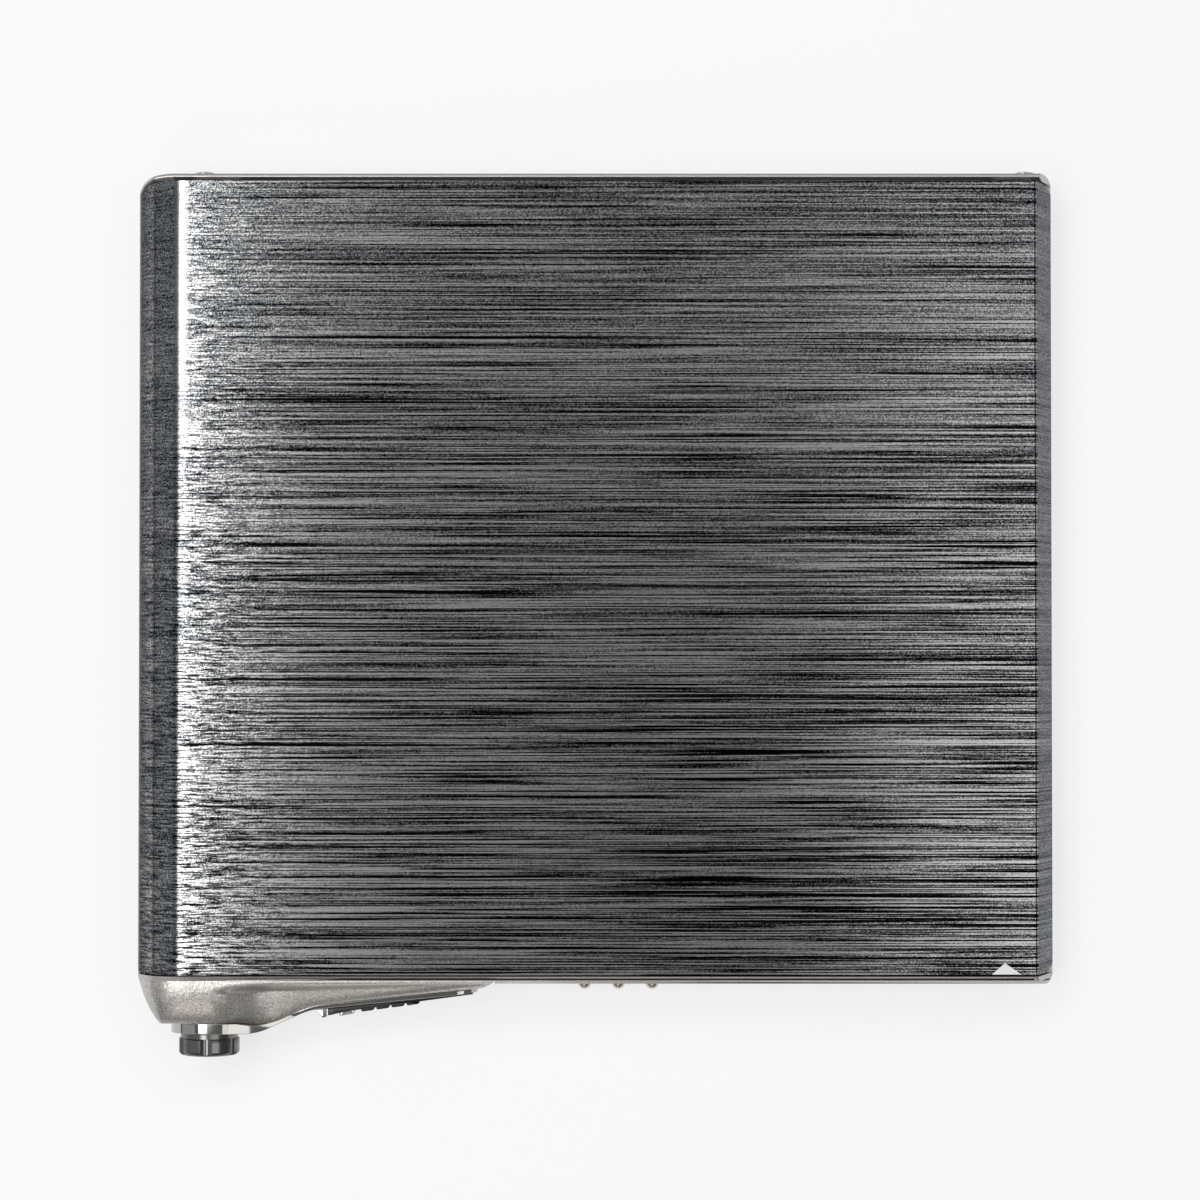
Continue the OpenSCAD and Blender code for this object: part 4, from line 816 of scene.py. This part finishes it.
# the pod: a round boss drawn out to the right into a strip, a cove and a low ledge
def makePod():
    size = {"in": 0.2, "start": 0.05, "crowd": 1.35, "corner": 2.2, "cornerPowers": (1.25, 0.8), "gap": 0.03,
            "strip": (1.2, 0.55), "flank": (-34.6, -28.6), "browFrom": 0.1, "browMost": 0.6,
            "depthLeast": 0.1, "tip": plate["tip"] + 1.6, "tipLeast": 0.04, "under": 0.02, "blend": 1.1,
            "feet": (0.42, 1.62), "wingLead": 2.2, "wingRun": 3.5, "power": 2.2, "reach": 1.42, "side": 0.84}
    hole = {"y": -38.7, "r": 2.6, "long": 5}

    def nose(x):
        if x >= body["noseX"]:
            return body["noseR"]
        return sqrt(max(0, body["noseR"] ** 2 - (body["noseX"] - x) ** 2))

    def roundIn(x):
        before = clamp((body["left"] + size["in"] + size["corner"] - x) / size["corner"])
        left = (1 - before ** size["cornerPowers"][0]) ** size["cornerPowers"][1]
        right = sqrt(max(0, 1 - clamp((x - plate["tip"]) / (size["tip"] - plate["tip"])) ** 2))
        return left * max(size["tipLeast"], right)

    def depth(x):
        return (body["rimFront"] - plateBack(x) - size["gap"]) * roundIn(x)

    def coveFoot(x):
        return mix(*size["strip"], clamp((x - plate["x3"]) / (plate["tip"] - plate["x3"])))

    def top(x, d):
        u = clamp((x - size["flank"][0]) / (size["flank"][1] - size["flank"][0]))
        v = clamp((d - size["browFrom"]) / (coveFoot(x) - size["browFrom"]))
        w = clamp(1 - hypot(1 - u, 1 - v))
        level = mix(body["rimTop"] - size["under"], body["lipTop"], smoother(w))
        return softMin(level, body["noseR"] + nose(x) - size["under"], size["blend"])

    def foot(x):
        wing = smooth((x - plate["x2"] + size["wingLead"]) / size["wingRun"])
        return max(mix(*size["feet"], wing), body["noseR"] - nose(x) + size["under"])

    def point(x, share, s):
        d = depth(x)
        high = top(x, d * (share if s > 0 else 1))
        return (x, body["rimFront"] - d * share, mix(foot(x), high, (1 + s) / 2))

    def height(share):
        return (1 - (share / size["reach"]) ** size["power"]) ** (1 / size["power"])

    rings = []
    side = size["side"]
    for f in spread(0, 1, 201):
        x = mix(body["left"] + size["in"] + size["start"], size["tip"], f ** size["crowd"])
        brow = min(size["browMost"], coveFoot(x) / max(size["depthLeast"], depth(x)))
        upper = spread(0, brow, 15)[:-1] + spread(brow, side, 18)
        ring = [point(x, u, height(u)) for u in upper]
        for s in spread(height(side), -height(side), 32)[1:-1]:
            share = min(1, size["reach"] * (1 - abs(s) ** size["power"]) ** (1 / size["power"]))
            ring.append(point(x, share, s))
        ring += [point(x, u, -height(u)) for u in spread(side, 0, 9)]
        rings.append(ring)
    pod = ringForm("pod", rings)
    cutCrownBar(pod, hole["y"], hole["r"], hole["long"])
    cutBox(pod, *latchRoom)
    cutBox(pod, *stemSlot)
    finishPiece(pod, "base", satinPod, ["control_pod"], 38)


makePod()
print("pod made")


# the face plate: round behind the crown, then a narrow band along the S
def makeFacePlate():
    size = {"taperFrom": 1, "taperRun": 7, "start": 0.15, "edge": 0.05, "edgeShares": (0.3, 0.45)}
    hole = {"y": -40.4, "r": 0.95, "long": 4}
    recess = 2
    tailX = plate["tip"] - plate["half"]

    def taper(x, atCrown, atWing):
        return mix(atCrown, atWing, smooth((x - plate["crownX"] - size["taperFrom"]) / size["taperRun"]))

    def halfAt(x):
        if x < plate["crownX"]:
            return sqrt(max(0, plate["round"] ** 2 - (plate["crownX"] - x) ** 2))
        if x > tailX:
            return sqrt(max(0, plate["half"] ** 2 - (x - plate["tip"] + plate["half"]) ** 2))
        return taper(x, plate["round"], plate["half"])

    lead = [plate["crownX"] - plate["round"] * cos(radians(a)) for a in spread(2, 88, 24)]
    tail = [tailX + plate["half"] * sin(radians(a)) for a in spread(2, 88, 16)]
    rings = []
    for x in lead + spread(plate["crownX"] + size["start"], tailX, 90) + tail:
        half, mid = halfAt(x), taper(x, plate["crownZ"], plate["wingZ"])
        y0, y1 = plateY(x), plateBack(x)
        r = min(size["edge"], (y1 - y0) * size["edgeShares"][0], half * size["edgeShares"][1])
        rings.append(roundedSection(x, y0, y1, mid - half, mid + half, r, 6))
    band = ringForm("facePlate", rings)
    cutCrownBar(band, hole["y"], hole["r"], hole["long"])
    cutCrownBar(band, plate["y0"] + plate["collarSeat"] - recess / 2, plate["collarR"], recess)
    cutBox(band, *stemSlot)
    finishPiece(band, "base", plateChrome, ["face_plate"], 40)


makeFacePlate()
print("face plate made")


# the collar that stands round the crown, outlined from its seat outwards
def makeCollar():
    r = plate["collarR"]
    outline = [(2.8, 0.0), (3.09, 0.0), (r, 0.01), (r, 0.33), (3.09, 0.35), (3.06, 0.37), (2.86, 0.37),
               (2.82, 0.35), (2.8, 0.31), (2.8, 0.0)]
    seat = (plate["crownX"], plate["y0"] + plate["collarSeat"], plate["crownZ"])
    collar = turnedForm("crownCollar", outline, seat, "front", 128)
    finishPiece(collar, "base", plateChrome, ["crown_collar"], 40)


def makeCrown():
    size = {"r": 2.7, "back": -40.52, "thick": 2.01, "edge": 0.4, "lobes": 6, "groove": 0.6, "grooveOut": 0.3,
            "grooveFrom": 2.56}
    bore = {"in": 0.15, "r": 0.91, "long": 1.7}

    def grooveIn(a, r):
        step = 2 * pi / size["lobes"]
        offset = (a % step) - step / 2
        reach = size["r"] + size["grooveOut"]
        across = reach * sin(offset)
        if abs(across) >= size["groove"] or r < size["grooveFrom"]:
            return 1.0
        limit = reach * cos(offset) - sqrt(size["groove"] ** 2 - across ** 2)
        return min(1.0, limit / r)

    # from the back's middle out to the neck, along the lobes, over the edge and in to the dished front
    outline = [(0.0, 0.0), (1.2, 0.0), (2.4, 0.0), (2.52, 0.02), (2.55, 0.06), (2.55, 0.43), (2.552, 0.45),
               (2.6, 0.46), (2.66, 0.5), (2.7, 0.57), (2.7, 0.9), (2.7, 1.2)]
    outline += arc(size["r"] - size["edge"], size["thick"] - size["edge"], size["edge"], 0, 90, 10)
    outline += [(2.0, 2.01), (1.75, 2.01), (1.66, 1.97), (1.6, 1.93), (0.8, 1.93), (0.0, 1.93)]
    back = (plate["crownX"], size["back"], plate["crownZ"])
    crown = turnedForm("jogCrown", outline, back, "front", 192, grooveIn)
    cutCrownBar(crown, size["back"] + bore["in"], bore["r"], bore["long"])
    finishPiece(crown, "crown", gunmetal, ["jog_crown"], 32)


makeCollar()
makeCrown()
print("crown made")


# the open slide: a thin dark wedge with ribs, a bright end and a pip
def makeSlide():
    size = {"gap": 0.05, "thick": 0.46, "least": 0.06, "root": 0.35, "rootFade": 14, "half": 1.4,
            "from": 0.42, "edge": 0.12, "endPull": 0.6, "backPull": 0.02, "edgeShare": 0.45}
    rib = {"count": 4, "from": 3.4, "pitch": 1.35, "width": 1.15, "lower": 0.3, "inner": 0.5, "out": 0.26,
           "edge": 0.14}
    end = {"lean": 0.6, "leanLeast": 0.15, "to": 0.46, "lower": 0.01, "edge": 0.06}
    pip = {"from": 1.42, "to": 2.78, "half": 0.68, "inner": 0.9, "out": 0.36, "edge": 0.12}
    stemCut = {"low": (-30, -41, 0), "highX": -5, "highZ": 9, "at": 5.6, "behind": 0.13}
    start = plate["x4"]

    def depthAt(x):
        u = (x - start) / plate["slideLength"]
        return size["thick"] * (1 - u) + size["least"] + size["root"] * exp(-size["rootFade"] * u)

    def endDepth(x):
        return depthAt(max(x, start)) * mix(end["leanLeast"], 1, clamp((x - start) / end["lean"] + 1))

    # a stretch of the wedge: how much of its depth is left out behind, and how far it stands out in front
    def wedge(name, x0, x1, count, half, inner, out, edge, depth=depthAt):
        rings = []
        for i, x in enumerate(spread(x0, x1, count)):
            pull = edge * size["endPull"] if i in (0, count - 1) else 0
            back = plateY(x) - size["gap"] - inner * depth(x) - min(pull, size["backPull"])
            front = plateY(x) - size["gap"] - depth(x) - out + pull
            low, high = plate["wingZ"] - (half - pull), plate["wingZ"] + (half - pull)
            r = min(edge, (back - front) * size["edgeShare"])
            rings.append(roundedSection(x, front, back, low, high, r, 5))
        return ringForm(name, rings)

    slide = wedge("openSlide", start + size["from"], start + plate["slideLength"], 48, size["half"], 0, 0,
                  size["edge"])
    pieces = [slide]
    for i in range(rib["count"]):
        x0 = start + rib["from"] + i * rib["pitch"]
        pieces.append(wedge("rib", x0, x0 + rib["width"], 10, size["half"] - rib["lower"], rib["inner"],
                            rib["out"], rib["edge"]))
    stem = nodeCopy("open_slide", "slideStem")
    stemFront = plateY(start + stemCut["at"]) - stemCut["behind"]
    cutBox(stem, stemCut["low"], (stemCut["highX"], stemFront, stemCut["highZ"]))
    joinPieces(pieces + [stem])
    finishPiece(slide, "slide", slideDark, ["open_slide"], 35)
    bright = wedge("slideEnd", start - end["lean"], start + end["to"], 16, size["half"] - end["lower"], 0,
                   -end["lower"], end["edge"], endDepth)
    finishPiece(bright, "slide", brightSteel, (), 35)
    knob = wedge("slidePip", start + pip["from"], start + pip["to"], 12, pip["half"], pip["inner"],
                 pip["out"], pip["edge"])
    finishPiece(knob, "slide", brightSteel, ["slide_pip"], 35)


makeSlide()
print("slide made")


# the domed contacts in the front lip
def makeContacts():
    pin = {"x": (-0.99, 2.06, 5.11), "z": 2.6, "r": 0.6, "out": 0.9, "back": -2.0, "edge": 0.05}
    dome = [(0.0, pin["back"]), (pin["r"] - pin["edge"], pin["back"]), (pin["r"], pin["back"] + pin["edge"])]
    dome += arc(0, pin["out"] - pin["r"], pin["r"], 0, 88, 14) + [(0.0, pin["out"])]
    pins = [turnedForm("contacts", dome, (x, body["front"], pin["z"]), "front", 48) for x in pin["x"]]
    finishPiece(joinPieces(pins), "base", goldContact, ["charge_contacts"], 35)


# the domed screws in the rear wall, each with a slanted cross cut into it
def makeHingeScrews():
    screw = {"r": 1.1, "rise": 0.29, "rim": 0.07, "edge": (0.03, 0.02), "shank": 0.44, "crossLong": 0.62,
             "crossHalf": 0.13, "crossFoot": 0.02, "lean": 35}
    low, high = nodeBox("hinge_screws")
    midZ = (low.z + high.z) / 2
    bulge = screw["rise"] - screw["rim"]
    ball = (screw["r"] ** 2 + bulge ** 2) / (2 * bulge)
    swing = degrees(asin(screw["r"] / ball))
    inside = low.y - body["rear"]
    head = [(0.0, inside), (screw["shank"], inside), (screw["shank"], 0.0),
            (screw["r"] - screw["edge"][0], 0.0), (screw["r"], screw["edge"][1])]
    turns = [radians(a) for a in spread(swing, 1, 12)]
    head += [(ball * sin(a), screw["rise"] - ball + ball * cos(a)) for a in turns] + [(0.0, screw["rise"])]
    long, half = screw["crossLong"], screw["crossHalf"]
    sides = [(-long, -half), (long, -half), (long, half), (-long, half)]
    screws = []
    for x in (low.x + screw["r"], high.x - screw["r"]):
        made = turnedForm("hingeScrews", head, (x, body["rear"], midZ), "rear", 64)
        for lean in (screw["lean"], screw["lean"] + 90):
            c, s = cos(radians(lean)), sin(radians(lean))
            foot = body["rear"] + screw["crossFoot"]
            slot = [(x + u * c - v * s, foot, midZ + u * s + v * c) for u, v in sides]
            cutAway(made, outlineForm("cross", slot, (0, 1, 0)))
        screws.append(made)
    finishPiece(joinPieces(screws), "base", screwSteel, ["hinge_screws"], 35)


makeContacts()
makeHingeScrews()
print("contacts and hinge screws made")


# the lead screw with a four-start thread of two millimetres a turn
def makeLeadScrew():
    thread = {"pitch": 0.5, "starts": 4, "deep": 0.1, "flank": 2.2, "land": 0.5, "plainEnd": 1.2,
              "stations": 360, "sides": 32}
    low, high = nodeBox("lead_screw")
    r = (high.z - low.z) / 2
    midY, midZ = (high.y + low.y) / 2, (high.z + low.z) / 2
    rings = []
    for x in spread(low.x, high.x, thread["stations"]):
        plain = min(x - low.x, high.x - x) < thread["plainEnd"]
        ring = []
        for i in range(thread["sides"]):
            a = 2 * pi * i / thread["sides"]
            phase = (x / thread["pitch"] - thread["starts"] * a / (2 * pi)) % 1.0
            groove = thread["deep"] * clamp(thread["flank"] * (1 - abs(2 * phase - 1)) - thread["land"])
            reach = r if plain else r - groove
            ring.append((x, midY + reach * cos(a), midZ + reach * sin(a)))
        rings.append(ring)
    finishPiece(ringForm("leadScrew", rings), "screw", brightSteel, ["lead_screw"], 35)


makeLeadScrew()
print("lead screw made")

# the chips have gull-wing legs along their sides, the small parts along the board's edge have end caps
chip = {"least": 2.5, "edge": 0.08, "smallEdge": 0.03, "endsIn": 0.6, "pitch": 0.65, "legWidth": 0.26,
        "legHalf": 0.05, "legEdge": 0.02, "legIn": -0.02, "knee": 0.12, "kneeShare": 0.45, "ankle": 0.2,
        "ankleUp": 0.09, "toe": 0.42, "toeUp": 0.06, "capOver": 0.02, "capUp": 0.01, "capLong": 0.16,
        "capEdge": 0.03}


def makeLegRow(low, high, side, edge):
    count = int((high.x - low.x - chip["endsIn"]) / chip["pitch"])
    first = (low.x + high.x - (count - 1) * chip["pitch"]) / 2
    x0, x1 = first - chip["legWidth"] / 2, first + chip["legWidth"] / 2
    kneeZ = mix(low.z, high.z, chip["kneeShare"])
    path = [(chip["legIn"], kneeZ), (chip["knee"], kneeZ), (chip["ankle"], low.z + chip["ankleUp"]),
            (chip["toe"], low.z + chip["toeUp"])]
    rings = []
    for out, z in path:
        y, z0, z1 = edge + side * out, z - chip["legHalf"], z + chip["legHalf"]
        rings.append([(x0, y, z0), (x1, y, z0), (x1, y, z1), (x0, y, z1)])
    leg = ringForm("leg", rings)
    row = leg.modifiers.new("row", "ARRAY")
    row.count = count
    row.use_relative_offset = False
    row.use_constant_offset = True
    row.constant_offset_displace = (chip["pitch"] * mm, 0, 0)
    bpy.ops.object.modifier_apply(modifier=row.name)
    roundEdges(leg, chip["legEdge"], 1, 40)
    return leg


def makeEndCap(low, high, x0, x1):
    y0, y1, z1 = low.y - chip["capOver"], high.y + chip["capOver"], high.z + chip["capUp"]
    cap = ringForm("cap", [[(x, y0, low.z), (x, y1, low.z), (x, y1, z1), (x, y0, z1)] for x in (x0, x1)])
    roundEdges(cap, chip["capEdge"], 1, 40)
    return cap


def makeChips():
    activate(nodeCopy("board_chips", "boardChips"))
    bpy.ops.mesh.separate(type="LOOSE")
    blocks = list(bpy.context.selected_objects)
    metal, small = [], []
    for block in blocks:
        corners = [v.co / mm for v in block.data.vertices]
        low, high = (Vector([pick(c[i] for c in corners) for i in range(3)]) for pick in (min, max))
        large = high.x - low.x > chip["least"]
        roundEdges(block, chip["edge"] if large else chip["smallEdge"], 2, 40)
        if large:
            metal += [makeLegRow(low, high, side, edge) for side, edge in ((-1, low.y), (1, high.y))]
        else:
            small.append((low, high))
    chips = joinPieces(blocks)
    chips.name = "boardChips"
    finishPiece(chips, "base", blackPlastic, ["board_chips"], 40, True)
    for low, high in small:
        metal.append(makeEndCap(low, high, low.x - chip["capOver"], low.x + chip["capLong"]))
        metal.append(makeEndCap(low, high, high.x - chip["capLong"], high.x + chip["capOver"]))
    legs = joinPieces(metal)
    legs.name = "chipLegs"
    finishPiece(legs, "base", brightSteel, (), 40, True)


makeChips()
print("chips made")

# pieces whose shape is the CAD node's own, with finer edges: body, slot and the width of the rounded edge
carried = {
    "bottom_cover": ("base", "case_satin", 0.06),
    "lid_hinge_strip": ("lid", "sheet_steel", 0.05),
    "lid_striker": ("lid", "sheet_steel", 0.05),
    "disc_holder": ("holder", "sheet_steel", 0.06),
    "holder_springs": ("holder", "bright_steel", 0.03),
    "shutter_opener": ("holder", "black_plastic", 0.06),
    "crown_shaft": ("crown", "bright_steel", 0.06),
    "jog_plunger": ("plunger", "black_plastic", 0.08),
    "jog_switch": ("base", "black_plastic", 0.05),
    "latch_bar": ("slide", "sheet_steel", 0.04),
    "hinge_bracket_left": ("base", "sheet_steel", 0.06),
    "hinge_bracket_right": ("base", "sheet_steel", 0.06),
    "hinge_pins": ("base", "bright_steel", 0.06),
    "case_screws": ("base", "dark_steel", 0.03),
    "contact_block": ("base", "black_plastic", 0.08),
    "headphone_jack": ("base", "black_plastic", 0.08),
    "hold_slider": ("hold", "black_plastic", 0),
    "mech_chassis": ("base", "sheet_steel", 0.05),
    "damper_grommets": ("base", "damper_rubber", 0.1),
    "damper_screws": ("base", "bright_steel", 0.04),
    "spindle_base": ("base", "motor_base", 0.06),
    "spindle_rotor": ("spindle", "sheet_steel", 0.07),
    "chuck_magnet": ("spindle", "magnet_dark", 0.05),
    "guide_rods": ("base", "bright_steel", 0.08),
    "rod_clips": ("base", "black_plastic", 0.06),
    "sled_motor": ("base", "sheet_steel", 0.08),
    "pickup_sled": ("sled", "sled_metal", 0.08),
    "sled_nut": ("sled", "pale_plastic", 0.06),
    "lens_holder": ("lens", "black_plastic", 0.08),
    "objective_lens": ("lens", "lens_glass", 0.03),
    "main_board": ("base", "board_green", 0.04),
    "battery_cell": ("base", "cell_foil", 0.25),
    "battery_contacts": ("base", "gold_contact", 0.04),
}
slotLooks = {"case_satin": satinCase, "sheet_steel": sheetSteel, "bright_steel": brightSteel,
             "black_plastic": blackPlastic, "dark_steel": darkSteel, "damper_rubber": damperRubber,
             "motor_base": motorBase, "magnet_dark": magnetDark, "sled_metal": sledMetal,
             "pale_plastic": palePlastic, "lens_glass": lensGlass, "board_green": boardGreen,
             "cell_foil": cellFoil, "gold_contact": goldContact}
# pieces of flat faces, whose shading is evened out
flatPieces = ("bottom_cover", "lid_hinge_strip", "lid_striker", "disc_holder", "latch_bar",
              "hinge_bracket_left", "hinge_bracket_right", "jog_switch", "contact_block", "hold_slider",
              "mech_chassis", "rod_clips", "pickup_sled", "sled_nut", "main_board", "battery_cell")
for node, (rides, slot, edge) in carried.items():
    words = node.split("_")
    piece = nodeCopy(node, words[0] + "".join(w.capitalize() for w in words[1:]))
    if edge:
        roundEdges(piece, edge, 2, 40)
    finishPiece(piece, rides, slotLooks[slot], [node], 40, node in flatPieces)
print("inner pieces finished:", len(carried))


# the floor glows for the camera and in reflections, keeps the shadow, and is clear from below
def makeFloor():
    ground = {"size": 4, "drop": 0.00003, "white": (0.96, 0.96, 0.965, 1), "rough": 0.9, "glow": 0.68}
    deselect()
    bpy.ops.mesh.primitive_plane_add(size=ground["size"])
    floor = bpy.context.object
    floor.name = "floor"
    floor.location.z = -ground["drop"]
    material, tree, shader = newMaterial("floorWhite", 0.0, ground["rough"])
    shader.inputs["Base Color"].default_value = ground["white"]
    shader.inputs["Specular IOR Level"].default_value = 0.0
    glow = tree.nodes.new("ShaderNodeEmission")
    path = tree.nodes.new("ShaderNodeLightPath").outputs
    rays = [path[label] for label in ("Is Camera Ray", "Is Glossy Ray", "Is Transmission Ray")]
    seen = mathNode(tree, "MAXIMUM", *rays)
    clear = tree.nodes.new("ShaderNodeBsdfTransparent")
    under = tree.nodes.new("ShaderNodeNewGeometry").outputs["Backfacing"]

    def mixShaders(factor, first, second):
        blend = tree.nodes.new("ShaderNodeMixShader")
        tree.links.new(factor, blend.inputs["Fac"])
        tree.links.new(first.outputs[0], blend.inputs[1])
        tree.links.new(second.outputs[0], blend.inputs[2])
        return blend

    above = mixShaders(times(tree, seen, ground["glow"]), shader, glow)
    both = mixShaders(under, above, clear)
    tree.links.new(both.outputs[0], tree.nodes["Material Output"].inputs["Surface"])
    floor.data.materials.append(material)


def makeCamera():
    view = {"place": (0.4, -7.7, 309), "tilt": 1.1, "sensor": 36, "lens": 101.6, "near": 0.01}
    bpy.ops.object.camera_add(location=[c * mm for c in view["place"]],
                              rotation=(radians(view["tilt"]), 0, 0))
    camera = bpy.context.object
    camera.data.sensor_width = view["sensor"]
    camera.data.lens = view["lens"]
    camera.data.clip_start = view["near"]
    bpy.context.scene.camera = camera


def makeWorld():
    studio = {"colour": (0.95, 0.97, 1.0, 1), "strength": 0.18}
    world = bpy.data.worlds.new("studio")
    bpy.context.scene.world = world
    world.use_nodes = True
    background = world.node_tree.nodes["Background"]
    background.inputs["Color"].default_value = studio["colour"]
    background.inputs["Strength"].default_value = studio["strength"]


# angles in degrees to the left of straight up and to the front, sizes in metres, power in watts
lights = {
    "strip": {"left": 17.1, "front": -5, "away": 0.62, "wide": 0.216, "long": 0.5, "power": 1.9,
              "aim": (-0.036, 0, 0.01)},
    "softRear": {"left": -8, "front": -30, "away": 1.1, "wide": 1.1, "long": 0.25, "power": 2.0},
    "softFront": {"left": 14, "front": 45, "away": 1.1, "wide": 0.4, "long": 0.4, "power": 0.8,
                  "colour": (1.0, 0.93, 0.85)},
    "softLeft": {"left": 62, "front": 0, "away": 1.1, "wide": 0.9, "long": 0.9, "power": 0.85,
                 "colour": (0.92, 0.95, 1.0)},
    "panelRight": {"left": -10.5, "front": 10, "away": 1.1, "wide": 0.2235, "long": 0.6, "power": 0.52,
                   "aim": (0.036, 0, 0.01)},
    "softRight": {"left": -30, "front": 8, "away": 1.1, "wide": 0.45, "long": 0.6, "power": 1.25},
}


def makeLight(name, left, front, away, wide, long, power, colour=(1, 1, 1), aim=(0, 0, 0.01)):
    direction = Vector((-tan(radians(left)), -tan(radians(front)), 1)).normalized()
    bpy.ops.object.light_add(type="AREA", location=Vector(aim) + direction * away)
    light = bpy.context.object
    light.name = name
    light.data.shape = "RECTANGLE"
    light.data.size = wide
    light.data.size_y = long
    light.data.energy = power
    light.data.color = colour
    across = Vector((0, 1, 0)).cross(direction).normalized()
    light.rotation_euler = Matrix((across, direction.cross(across), direction)).transposed().to_euler()


makeFloor()
makeCamera()
makeWorld()
for name, settings in lights.items():
    makeLight(name, **settings)
bpy.context.scene.view_settings.view_transform = "Standard"

print("scene ready")
